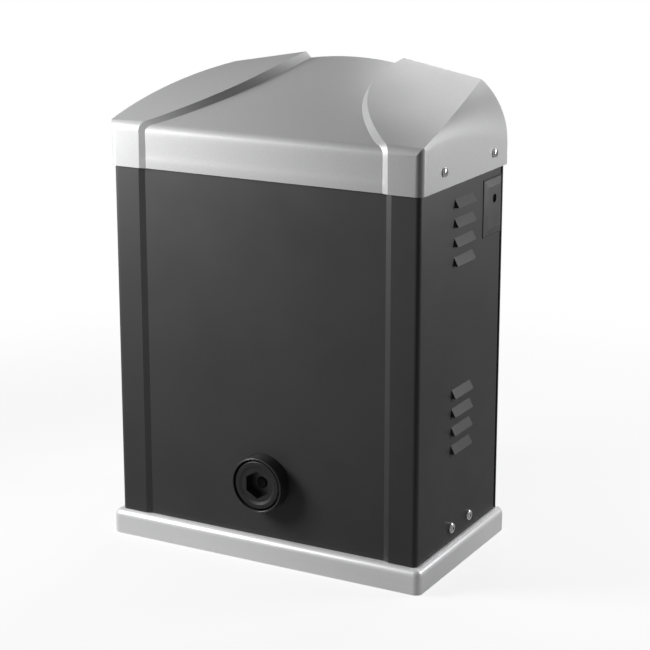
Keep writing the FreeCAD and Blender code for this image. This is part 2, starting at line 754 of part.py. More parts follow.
def make_side_screws():
    """Pan-head screws through the cap and the cover on both sides, as separate solids of one node."""
    body = new_body("side_screws")
    for places, seat, head, shank, _ in SIDE_SCREWS:
        height = f"({head}) * 0.6"
        for low, high, radius in ((f"{INNER_X} - 9", seat, shank), (seat, f"{seat} + {height}", head)):
            circles = [circle(y, z, radius) for y, z in places]
            pad(body, "YZ", low, high, *circles)
            pad(body, "YZ", f"-({high})", f"-({low})", *circles)
        ends = [f"{seat} + {height}", f"-({seat} + {height})"]
        round_edges(body, f"{height} * 0.6", lambda edge: any(lies_at(edge, "X", end) for end in ends))
        recess = [hexagon(y, z, f"({shank}) * 1.2") for y, z in places]
        pocket(body, "YZ", f"{ends[0]} - {height} * 0.6", ends[0], *recess)
        pocket(body, "YZ", ends[1], f"{ends[1]} + {height} * 0.6", *recess)


def make_rivet_nuts():
    """Threaded inserts in the cover's sides that the side screws run into."""
    body = new_body("rivet_nuts")
    shelf = f"{INNER_X} - 7"
    for places, _, _, shank, nut in SIDE_SCREWS:
        for low, high, radius in ((shelf, f"{HALF_WIDTH} - 0.1", f"({nut}) - 0.05"),
                                  (shelf, INNER_X, f"({nut}) + 1.6")):
            rings = [circle(y, z, radius) for y, z in places]
            pad(body, "YZ", low, high, *rings)
            pad(body, "YZ", f"-({high})", f"-({low})", *rings)
        pocket(body, "YZ", f"-{HALF_WIDTH}", HALF_WIDTH, *[circle(y, z, f"({shank}) + 0.05") for y, z in places])


def make_cover_brackets():
    """Two angle brackets on the plinth that the cover's lower screws clamp."""
    body = new_body("cover_brackets")
    plate, height, foot = "3", "plinth_height + 26", "16"
    outer = f"{INNER_X} - 7.2"
    ends = (f"{COVER_SCREWS[0]} - 10", f"{COVER_SCREWS[1]} + 10")
    angle = [("0", "plinth_height"), (f"-{foot}", "plinth_height"), (f"-{foot}", f"plinth_height + {plate}"),
             (f"-{plate}", f"plinth_height + {plate}"), (f"-{plate}", height), ("0", height)]
    for side in ("1", "-1"):
        pad(body, "XZ", *ends, polygon(*[(f"{side} * ({outer} + {x})", z) for x, z in angle]))
    reach = f"{outer} + 1"
    pocket(body, "YZ", f"-({reach})", reach, *[circle(y, "cover_screw_height", "2.6") for y in COVER_SCREWS])


def make_panel_screws():
    """Six button-head screws that hold the rear panel to the cover's return flanges."""
    body = new_body("rear_panel_screws")
    pad(body, "XZ", f"{PANEL_FRONT} - 6", REAR, *[circle(x, z, "2") for x, z in PANEL_SCREWS])
    pad(body, "XZ", REAR, f"{REAR} + 2.2", *[circle(x, z, "4") for x, z in PANEL_SCREWS])
    round_edges(body, "1.4", lambda edge: lies_at(edge, "Y", f"{REAR} + 2.2"))
    pocket(body, "XZ", f"{REAR} + 0.8", f"{REAR} + 2.2", *[hexagon(x, z, "2.5") for x, z in PANEL_SCREWS])


# --------------------------------------------------------------------------------------------------
# Gearcase
# --------------------------------------------------------------------------------------------------
TIP_RADIUS = f"({WHEEL_RADIUS} + worm_module)"
CHAMBER = f"({TIP_RADIUS} + chamber_clearance)"
CASE_LEFT = f"({WORM_X} - worm_bore_radius - case_wall - 1)"
BOSS_RADIUS = "(rear_bearing_outer + case_wall)"
REAR_SEAT = f"({REAR} - seal_width - 1 - rear_bearing_width)"
FRONT_SEAT = f"({PLATE_FRONT} - front_bearing_width - 2)"
NOSE_END = f"({FRONT_SEAT} - seal_width - 1)"
UPPER_SEAT = "(flange_height - 14)"
LOWER_SEAT = "(plinth_height + case_floor)"
COVER_BOLTS = [(f"{x} * 43", f"axis_height + {z} * 43") for x in (-1, 1) for z in (-0.9, 0.9)]
FLANGE_CORNERS = [(f"{WORM_X} + {i} * tie_bolt_offset", f"gear_plane + {j} * tie_bolt_offset")
                  for i in (-1, 1) for j in (-1, 1)]


def flange_square(grow="0"):
    """Square footprint of the motor flange and end shield."""
    side = f"2 * (shell_half + {grow})"
    return centred(WORM_X, "gear_plane", side, side)


def make_gearcase():
    """Cast housing: wheel chamber, worm bore, motor flange, rear bearing boss and feet, with ribs."""
    body = new_body("gearcase")
    right, left = "case_right", CASE_LEFT
    outline = polygon((left, "plinth_height"), (right, "plinth_height"), (right, "case_top - 26"),
                      (f"{right} - 24", "case_top"), (left, "case_top"))
    pad(body, "XZ", "case_front", CASE_REAR, outline)
    round_edges(body, "8", lambda edge: runs_along(edge, "Y") and edge.BoundBox.ZMin > value("axis_height"))
    foot = box(f"{left} - 4", "case_front", f"{right} + 4", f"{CASE_REAR} + 20")
    pad(body, "XY", "plinth_height", "plinth_height + case_floor - 0.5", foot)
    pad(body, "XY", "case_top - 2", "flange_height", flange_square())
    corners = [(f"{WORM_X} + {i} * shell_half", f"gear_plane + {j} * shell_half") for i in (-1, 1) for j in (-1, 1)]
    round_edges(body, "10", lambda edge: runs_along(edge, "Z") and any(
        lies_at(edge, "X", x) and lies_at(edge, "Y", y) for x, y in corners))
    pad(body, "XZ", f"{CASE_REAR} - 1", REAR, circle("0", "axis_height", BOSS_RADIUS))
    rib = "5"
    rear_rib = polygon((f"{CASE_REAR} - 1", "plinth_height"), (f"{CASE_REAR} + 18", "plinth_height"),
                       (f"{CASE_REAR} + 24", "axis_height"), (f"{CASE_REAR} - 1", "axis_height + 40"))
    pad(body, "YZ", f"-{rib} / 2", f"{rib} / 2", rear_rib)
    pocket(body, "XZ", "case_front", f"{CASE_REAR} - 8", circle("0", "axis_height", CHAMBER))
    pocket(body, "XY", f"{LOWER_SEAT} + 11", "flange_height", circle(WORM_X, "gear_plane", "worm_bore_radius"))
    pocket(body, "XY", LOWER_SEAT, "flange_height", circle(WORM_X, "gear_plane", "17.5"))
    pocket(body, "XY", UPPER_SEAT, "flange_height", circle(WORM_X, "gear_plane", "23.5"))
    pocket(body, "XZ", f"{CASE_REAR} - 9", REAR, circle("0", "axis_height", "shaft_radius + 4"))
    pocket(body, "XZ", REAR_SEAT, REAR, circle("0", "axis_height", "rear_bearing_outer"))
    pocket(body, "XY", "plinth_height", "plinth_height + 20", *[circle(x, y, "4.2") for x, y in CASE_BOLTS])
    pocket(body, "XZ", "case_front", "case_front + 12", *[circle(x, z, "3") for x, z in COVER_BOLTS])
    pocket(body, "XY", "flange_height - 13", "flange_height", *[circle(x, y, "3.4") for x, y in FLANGE_CORNERS])


def cover_shape(grow="0"):
    """Outline of the gearcase's front face."""
    return centred("0", "axis_height", f"2 * (case_right - 1 + {grow})", f"2 * (case_right - 3 + {grow})")


def make_gearcase_cover():
    """Front cover plate with the front bearing boss, ribs and a spigot ring for the release collar."""
    body = new_body("gearcase_cover")
    pad(body, "XZ", PLATE_FRONT, FACE, cover_shape())
    round_edges(body, "9", lambda edge: runs_along(edge, "Y"))
    pad(body, "XZ", NOSE_END, PLATE_FRONT, circle("0", "axis_height", "front_bearing_outer + 5"))
    ribs = [box("-2.5", f"axis_height + {side} * (front_bearing_outer + 3)",
                "2.5", f"axis_height + {side} * (case_right - 6)") for side in (-1, 1)]
    sides = [box(f"{side} * (front_bearing_outer + 3)", "axis_height - 2.5",
                 f"{side} * (case_right - 4)", "axis_height + 2.5") for side in (-1, 1)]
    pad(body, "XZ", f"{PLATE_FRONT} - 6", PLATE_FRONT, *ribs, *sides)
    pocket(body, "XZ", NOSE_END, FACE, circle("0", "axis_height", "shaft_radius + 4"))
    pocket(body, "XZ", FRONT_SEAT, FACE, circle("0", "axis_height", "front_bearing_outer"))
    pocket(body, "XZ", f"{PLATE_FRONT} - 1", FACE, *[circle(x, z, "3.3") for x, z in COVER_BOLTS])


def make_gasket():
    """Paper gasket between the gearcase and its front cover."""
    body = new_body("gearcase_gasket")
    pad(body, "XZ", FACE, "case_front", cover_shape("-0.5"))
    pocket(body, "XZ", FACE, "case_front", circle("0", "axis_height", f"{CHAMBER} - 5"),
           *[circle(x, z, "3.3") for x, z in COVER_BOLTS])


def make_case_screws():
    """Hex-socket screws of the gearcase cover."""
    body = new_body("gearcase_screws")
    head = f"{PLATE_FRONT} - 4"
    pad(body, "XZ", PLATE_FRONT, "case_front + 10", *[circle(x, z, "2.95") for x, z in COVER_BOLTS])
    pad(body, "XZ", head, PLATE_FRONT, *[circle(x, z, "4.8") for x, z in COVER_BOLTS])
    pocket(body, "XZ", head, f"{head} + 2.5", *[hexagon(x, z, "5") for x, z in COVER_BOLTS])


def make_case_bolts():
    """Four bolts that come up through the plinth into the gearcase feet."""
    body = new_body("gearcase_bolts")
    top = "(plinth_height + case_floor - 0.5)"
    pad(body, "XY", "plinth_height - plinth_web - 5", "plinth_height - plinth_web",
        *[hexagon(x, y, "13") for x, y in CASE_BOLTS])
    pad(body, "XY", "plinth_height - plinth_web", f"{top} - 0.5", *[circle(x, y, "4") for x, y in CASE_BOLTS])


# --------------------------------------------------------------------------------------------------
# Output line: shaft, bearings, seals, worm wheel, clutch, release and drive pinion
# --------------------------------------------------------------------------------------------------
SHAFT_Y = ("0", "0", "axis_height")
NOSE_TIP = f"({FRONT} + 3)"
PINION_END = f"({PINION_START} + pinion_width)"
CROSS_PIN = "(gear_plane - wheel_width / 2 - 10)"


def make_output_shaft():
    """Stepped output shaft, bored at the front for the release rod and slotted for its cross pin."""
    body = new_body("output_shaft", *SHAFT_Y)
    main, journal, nose, tail = "shaft_radius", "front_journal", "front_journal - 2.5", "(shaft_radius - 2)"
    turn(body, "Y", [(NOSE_TIP, "rod_radius + running_fit"), (NOSE_TIP, nose), (NOSE_END, nose),
                     (NOSE_END, journal), (FACE, journal), (FACE, main), (f"{REAR} + 1", main),
                     (f"{REAR} + 1", tail), (f"{PINION_END} - 1", tail), (f"{PINION_END} - 1", "5"),
                     (f"{PINION_END} - 24", "5"), (f"{PINION_END} - 24", "0.5"), ("gear_plane + 4", "0.5"),
                     ("gear_plane + 4", "rod_radius + running_fit")])
    pocket(body, "XY", "8", "shaft_radius + 1",
           centred("0", f"{PINION_START} + pinion_width / 2", "8", "pinion_width - 4"))
    half_slot = "3.05"
    pocket(body, "YZ", "-(shaft_radius + 1)", "shaft_radius + 1",
           box(f"{CROSS_PIN} - {half_slot} - clutch_travel", f"-{half_slot}", f"{CROSS_PIN} + {half_slot}", half_slot))
    groove = f"({NOSE_TIP} + 7)"
    turn(body, "Y", [(f"{groove} - 1.6", f"{nose} - 1.5"), (f"{groove} + 1.6", f"{nose} - 1.5"),
                     (f"{groove} + 1.6", f"{nose} + 1"), (f"{groove} - 1.6", f"{nose} + 1")], cut=True)


def washers(body, plane, centre, rings):
    """Add plain rings given as (start, end, inner radius, outer radius) along one line."""
    for start, end, inner, outer in rings:
        pad(body, plane, start, end, circle(*centre, inner), circle(*centre, outer))


OUTPUT_LINE = ("0", "axis_height")
ROTOR_LINE = (WORM_X, "gear_plane")
OUTPUT_BEARINGS = [(REAR_SEAT, f"{REAR_SEAT} + rear_bearing_width", "shaft_radius", "rear_bearing_outer"),
                   (FRONT_SEAT, f"{FRONT_SEAT} + front_bearing_width", "front_journal", "front_bearing_outer")]
ROTOR_BEARINGS = [(LOWER_SEAT, f"{LOWER_SEAT} + 11", "7.5", "17.5"), (UPPER_SEAT, f"{UPPER_SEAT} + 14", "10", "23.5"),
                  (f"{SHELL_TOP} - 4", f"{SHELL_TOP} + 7", "7.5", "17.5")]


def make_bearings():
    """Sealed ball bearings: outer rings with their shields, and inner rings that turn with the shafts."""
    outers = new_body("bearing_outer_rings")
    for plane, line, bearings, label in (("XZ", OUTPUT_LINE, OUTPUT_BEARINGS, "output_bearing_inners"),
                                         ("XY", ROTOR_LINE, ROTOR_BEARINGS, "rotor_bearing_inners")):
        split = "(({}) + ({})) / 2"
        washers(outers, plane, line, [(a, b, split.format(r, o) + " + running_fit", o) for a, b, r, o in bearings])
        inners = new_body(label)
        washers(inners, plane, line, [(a, b, r, split.format(r, o) + " - running_fit") for a, b, r, o in bearings])


def make_seals():
    """Rubber shaft seals of the output shaft and of the motor shaft."""
    seals = new_body("shaft_seals")
    washers(seals, "XZ", OUTPUT_LINE, [
        (f"{REAR} - seal_width - 0.5", f"{REAR} - 0.5", "shaft_radius + running_fit", "rear_bearing_outer"),
        (f"{NOSE_END} + 0.5", f"{FRONT_SEAT} - 0.5", "front_journal + running_fit", "shaft_radius + 4")])
    washers(seals, "XY", ROTOR_LINE, [(f"{UPPER_SEAT} - 8", f"{UPPER_SEAT} - 1", "10 + running_fit", "worm_bore_radius")])


def gear_gap(axis_u, radius, module, tip_factor, waist):
    """Closed outline of one tooth space, symmetric about the line that runs out along the first axis."""
    half = [(f"{radius} - 1.25 * {module}", f"0.5 * {module}"), (f"{radius} - 0.6 * {module}", waist),
            (radius, f"0.785 * {module}"), (f"{radius} + 0.5 * {module}", f"{module} * (0.785 + {tip_factor}) / 1.96"),
            (f"{radius} + {module}", f"{tip_factor} * {module}"),
            (f"{radius} + 1.4 * {module}", f"1.18 * {tip_factor} * {module}")]
    side = [(f"{axis_u} * ({u})", v) for u, v in half]
    return polygon(*side, *[(u, f"-({v})") for u, v in reversed(side)])


def make_pinion():
    """Spur drive pinion: toothed rim, hub and keyway."""
    body = new_body("drive_pinion", *SHAFT_Y)
    bore, tip = "shaft_radius - 2", f"({PINION_RADIUS} + pinion_module)"
    edge = "1.2"
    turn(body, "Y", [(PINION_START, bore), (PINION_END, bore), (PINION_END, f"{tip} - {edge}"),
                     (f"{PINION_END} - {edge}", tip), (f"{PINION_START} + {edge}", tip),
                     (PINION_START, f"{tip} - {edge}")])
    gap = pocket(body, "XZ", PINION_START, PINION_END,
                 gear_gap("1", PINION_RADIUS, "pinion_module", "1.437", "0.6 * pinion_module"))
    polar(body, gap, "Y", "pinion_teeth")
    turn(body, "Y", tube(f"{REAR} + 1", f"{PINION_START} + 0.01", bore, "shaft_radius + 6"))
    pocket(body, "XY", "0", "shaft_radius + 2",
           centred("0", f"{PINION_START} + pinion_width / 2 - 5", "8", "pinion_width + 22"))


def make_pinion_fixings():
    """Key between shaft and pinion, and the retaining screw with its washer."""
    body = new_body("pinion_key", *SHAFT_Y)
    pad(body, "XY", "8", "shaft_radius + 1.9",
        centred("0", f"{PINION_START} + pinion_width / 2", "7.98", "pinion_width - 4.1"))
    screw = new_body("pinion_retaining_screw", *SHAFT_Y)
    turn(screw, "Y", [(f"{PINION_END} - 20", "0.01"), (f"{PINION_END} - 20", "4.95"), (PINION_END, "4.95"),
                      (PINION_END, "18"), (f"{PINION_END} + 3", "18"), (f"{PINION_END} + 3", "8"),
                      (f"{PINION_END} + 9", "8"), (f"{PINION_END} + 9", "0.01")])
    pocket(screw, "XZ", f"{PINION_END} + 4", f"{PINION_END} + 9.1", hexagon("0", "0", "8"))


WORM_LINE = (*ROTOR_LINE, "0")
CONE_FACE = "(gear_plane - wheel_width / 2)"
CONE_BIG, CONE_SMALL = "(shaft_radius * 2)", "(shaft_radius * 2 - 3)"
BORE = "(shaft_radius + running_fit)"


def make_worm_wheel():
    """Bronze worm wheel: teeth slanted to the worm's lead, plain bore, and the clutch's female cone."""
    body = new_body("worm_wheel", *SHAFT_Y)
    rear, edge = "(gear_plane + wheel_width / 2)", "1"
    turn(body, "Y", [(CONE_FACE, CONE_BIG), (CONE_FACE, f"{TIP_RADIUS} - {edge}"),
                     (f"{CONE_FACE} + {edge}", TIP_RADIUS), (f"{rear} - {edge}", TIP_RADIUS),
                     (rear, f"{TIP_RADIUS} - {edge}"), (rear, BORE), ("gear_plane", BORE), ("gear_plane", CONE_SMALL)])
    slant = f"(worm_module / worm_pitch_radius / 2 / {WHEEL_RADIUS} * 180 / pi)"
    gap = gear_gap("-1", WHEEL_RADIUS, "worm_module", "1.308", "0.53 * worm_module")
    ends = [(y, gap, f"-({y} - gear_plane) * {slant}") for y in (f"({CONE_FACE} - 0.01)", f"({rear} + 0.01)")]
    cut = loft(body, "Subtractive", "XZ", *ends)
    polar(body, cut, "Y", "wheel_teeth")
    spacer = new_body("wheel_spacer")
    washers(spacer, "XZ", OUTPUT_LINE, [(f"{rear} + 0.1", REAR_SEAT, "shaft_radius", "shaft_radius + 3.9")])


def make_clutch():
    """Sliding clutch cone, its cross pin and the rod that the release hub moves."""
    fit = "running_fit"
    body = new_body("clutch_cone", *SHAFT_Y)
    nose, taper = f"({CONE_FACE} - 16)", f"(({CONE_BIG} - {CONE_SMALL}) * 2 / wheel_width)"
    turn(body, "Y", [(nose, BORE), ("gear_plane - 1", BORE), ("gear_plane - 1", f"{CONE_SMALL} + {taper} - {fit} * 2"),
                     (CONE_FACE, f"{CONE_BIG} - {fit} * 2"), (f"{CONE_FACE} - 3", f"{CONE_BIG} - {fit} * 2"),
                     (f"{CONE_FACE} - 5", f"{CONE_BIG} - 7"), (nose, f"{CONE_BIG} - 7")])
    pocket(body, "YZ", f"-{CONE_BIG}", CONE_BIG, circle(CROSS_PIN, "0", "3"))
    rod = new_body("clutch_rod", *SHAFT_Y)
    turn(rod, "Y", [(f"{SOCKET_END} - clutch_travel", "0.01"), (f"{SOCKET_END} - clutch_travel", "rod_radius - 0.8"),
                    (f"{SOCKET_END} - clutch_travel + 0.8", "rod_radius"), ("gear_plane + 1", "rod_radius"),
                    ("gear_plane + 1", "0.01")])
    pocket(rod, "YZ", "-rod_radius - 1", "rod_radius + 1", circle(CROSS_PIN, "0", "3"))
    cross = new_body("clutch_cross_pin", *SHAFT_Y)
    turn_pin = f"({CONE_BIG} - 7.5)"
    pad(cross, "YZ", f"-{turn_pin}", turn_pin, circle(CROSS_PIN, "0", "2.99"))
    round_edges(cross, "0.5", lambda edge: lies_at(edge, "X", turn_pin) or lies_at(edge, "X", f"-{turn_pin}"),
                "Chamfer")


HUB_FRONT = f"({FRONT} - collar_reach + hub_inset)"
SOCKET_END = f"({HUB_FRONT} + socket_depth)"
HUB_REAR = f"({NOSE_TIP} + 13)"


def make_release():
    """Fixed collar, turning hub with its hex socket, and the two dog-point screws that hold the hub."""
    collar = new_body("release_collar", *SHAFT_Y)
    start, lip = f"({FRONT} - collar_reach)", "0.6"
    turn(collar, "Y", [(start, "collar_bore + 0.3"), (start, f"collar_radius - {lip}"), (f"{start} + {lip}", "collar_radius"),
                       (f"{NOSE_END} - 3", "collar_radius"), (f"{NOSE_END} - 3", "front_bearing_outer + 5"),
                       (NOSE_END, "front_bearing_outer + 5"), (NOSE_END, "collar_bore"), (f"{start} + 0.3", "collar_bore")])
    hub = new_body("release_hub", *SHAFT_Y)
    nose, dish = "(front_journal - 2.5 + running_fit)", "1"
    turn(hub, "Y", [(f"{HUB_FRONT} + {dish}", "0.01"), (f"{HUB_FRONT} + {dish}", "hub_radius - 6.5"),
                    (HUB_FRONT, "hub_radius - 4"), (HUB_FRONT, "hub_radius - 0.8"), (f"{HUB_FRONT} + 0.8", "hub_radius"),
                    (NOSE_TIP, "hub_radius"), (NOSE_TIP, "hub_radius - 4"), (HUB_REAR, "hub_radius - 4"),
                    (HUB_REAR, nose), (f"{NOSE_TIP} - 0.2", nose), (f"{NOSE_TIP} - 0.2", "0.01")])
    pocket(hub, "XZ", HUB_FRONT, SOCKET_END, hexagon("0", "0", "socket_across_flats"))
    pocket(hub, "XZ", HUB_FRONT, NOSE_TIP, circle("0", "0", "rod_radius + running_fit"))
    screw_line, wall = f"({NOSE_TIP} + 7)", "(hub_radius - 4)"
    pocket(hub, "YZ", f"-{wall} - 1", f"{wall} + 1", circle(screw_line, "0", "2.5"))
    grub = new_body("hub_dog_screws", *SHAFT_Y)
    seat, dog = "(front_journal - 2)", "(front_journal - 3.9)"
    for low, high, radius in ((seat, f"{wall} - 0.6", "2.48"), (dog, seat, "1.5")):
        pad(grub, "YZ", low, high, circle(screw_line, "0", radius))
        pad(grub, "YZ", f"-({high})", f"-({low})", circle(screw_line, "0", radius))


# --------------------------------------------------------------------------------------------------
# Motor
# --------------------------------------------------------------------------------------------------
STACK_LOW = "(flange_height + shell_height / 2 - stack_length / 2)"
STACK_HIGH = "(flange_height + shell_height / 2 + stack_length / 2)"
SHAFT_SEAT = "9.8"


def make_rotor():
    """Rotor shaft with its integral single-start worm, and the squirrel-cage rotor pressed on it."""
    body = new_body("worm_shaft", *WORM_LINE)
    root, top = "(worm_pitch_radius - 1.2 * worm_module)", f"({SHELL_TOP} + 7)"
    turn(body, "Z", [(LOWER_SEAT, "0.01"), (LOWER_SEAT, "7.5"), (f"{LOWER_SEAT} + 11", "7.5"),
                     (f"{LOWER_SEAT} + 11", root), (f"{UPPER_SEAT} - 10", root), (f"{UPPER_SEAT} - 10", "10"),
                     ("flange_height + 2", "10"), ("flange_height + 2", SHAFT_SEAT), (f"{SHELL_TOP} - 4", SHAFT_SEAT),
                     (f"{SHELL_TOP} - 4", "7.5"), (top, "7.5"), (top, "0.01")])
    pitch = "(pi * worm_module)"
    start = f"(axis_height - worm_turns / 2 * {pitch})"
    wide, narrow = "(1.222 * worm_module - backlash / 2)", "(0.421 * worm_module - backlash / 2)"
    profile = new_sketch(body, "XZ")
    polygon((f"{root} - 0.4", f"{start} - {wide}"), (root, f"{start} - {wide}"),
            ("worm_pitch_radius + worm_module", f"{start} - {narrow}"),
            ("worm_pitch_radius + worm_module", f"{start} + {narrow}"), (root, f"{start} + {wide}"),
            (f"{root} - 0.4", f"{start} + {wide}"))(profile)
    thread = body.newObject("PartDesign::AdditiveHelix", "worm_thread")
    thread.Profile = profile
    thread.ReferenceAxis = (origin_feature(body, "Z_Axis"), [""])
    thread.Mode = 0
    thread.setExpression("Pitch", cell(pitch))
    thread.setExpression("Height", cell(f"worm_turns * {pitch}"))
    body.Tip = thread
    doc.recompute()
    core = new_body("rotor_core", *WORM_LINE)
    ring, outer = "7", "rotor_radius"
    turn(core, "Z", [(STACK_LOW, SHAFT_SEAT), (STACK_HIGH, SHAFT_SEAT), (STACK_HIGH, f"{outer} - 13"),
                     (f"{STACK_HIGH} + {ring}", f"{outer} - 11"), (f"{STACK_HIGH} + {ring}", f"{outer} - 2"),
                     (STACK_HIGH, f"{outer} - 1"), (STACK_HIGH, outer), (STACK_LOW, outer),
                     (STACK_LOW, f"{outer} - 1"), (f"{STACK_LOW} - {ring}", f"{outer} - 2"),
                     (f"{STACK_LOW} - {ring}", f"{outer} - 11"), (STACK_LOW, f"{outer} - 13")])


def make_motor():
    """Finned motor shell, stator stack with end windings, top end shield and tie bolts."""
    shell = new_body("motor_shell", *WORM_LINE)
    outer = "(stator_radius + shell_wall)"
    turn(shell, "Z", tube("flange_height", SHELL_TOP, "stator_radius", outer))
    fin = pad(shell, "XY", "flange_height + 10", f"{SHELL_TOP} - 8", box(f"{outer} - 1", "-1.5", "shell_half - 1.5", "1.5"))
    polar(shell, fin, "Z", "24")
    stator = new_body("stator_core", *WORM_LINE)
    gap = "(rotor_radius + air_gap)"
    turn(stator, "Z", tube(STACK_LOW, STACK_HIGH, gap, "stator_radius"))
    coils = []
    for near_end, far_end in ((STACK_HIGH, f"{STACK_HIGH} + 16"), (STACK_LOW, f"{STACK_LOW} - 16")):
        turned = f"({far_end} + {near_end}) / 2"
        coils.append([(near_end, f"{gap} + 3"), (near_end, "stator_radius - 3"), (turned, "stator_radius - 1.5"),
                      (far_end, "stator_radius - 6"), (far_end, f"{gap} + 5"), (turned, f"{gap} + 2")])
    windings = new_body("stator_windings", *WORM_LINE)
    for coil in coils:
        turn(windings, "Z", coil)
    shield = new_body("motor_end_shield", *WORM_LINE)
    side, boss = "2 * shell_half", "24"
    pad(shield, "XY", SHELL_TOP, f"{SHELL_TOP} + 9", centred("0", "0", side, side))
    round_edges(shield, "10", lambda edge: runs_along(edge, "Z"))
    turn(shield, "Z", [(f"{SHELL_TOP} - 5", "0.01"), (f"{SHELL_TOP} - 5", "stator_radius - 0.1"),
                       (f"{SHELL_TOP} + 1", "stator_radius - 0.1"), (f"{SHELL_TOP} + 1", "0.01")])
    turn(shield, "Z", [(f"{SHELL_TOP} + 8", "0.01"), (f"{SHELL_TOP} + 8", f"{boss} + 4"),
                       (f"{SHELL_TOP} + 17", boss), (f"{SHELL_TOP} + 17", "0.01")])
    rib = pad(shield, "XY", f"{SHELL_TOP} + 8", f"{SHELL_TOP} + 14", box(f"{boss} - 3", "-2", "stator_radius", "2"))
    polar(shield, rib, "Z", "8")
    turn(shield, "Z", [(f"{SHELL_TOP} - 6", "0.01"), (f"{SHELL_TOP} - 6", "17.5"), (f"{SHELL_TOP} + 7", "17.5"),
                       (f"{SHELL_TOP} + 7", "0.01")], cut=True)
    corners = [(f"{i} * tie_bolt_offset", f"{j} * tie_bolt_offset") for i in (-1, 1) for j in (-1, 1)]
    pocket(shield, "XY", SHELL_TOP, f"{SHELL_TOP} + 9", *[circle(x, y, "3.3") for x, y in corners])
    bolts = new_body("motor_tie_bolts", *WORM_LINE)
    seat = f"({SHELL_TOP} + 9)"
    pad(bolts, "XY", "flange_height - 12", seat, *[circle(x, y, "3") for x, y in corners])
    pad(bolts, "XY", seat, f"{seat} + 5", *[hexagon(x, y, "10") for x, y in corners])


# --------------------------------------------------------------------------------------------------
# Controls
# --------------------------------------------------------------------------------------------------
BOARD_X, BOARD_Z = "(bracket_left + 56)", "(bracket_top - 12 - board_height / 2)"
BOARD_BACK = "(bracket_plane - standoff_length)"
BOARD_FACE = "(bracket_plane - standoff_length - board_gauge)"
STANDOFFS = [(f"{BOARD_X} + {i} * (board_width / 2 - 6)", f"{BOARD_Z} + {j} * (board_height / 2 - 6)")
             for i in (-1, 1) for j in (-1, 1)]


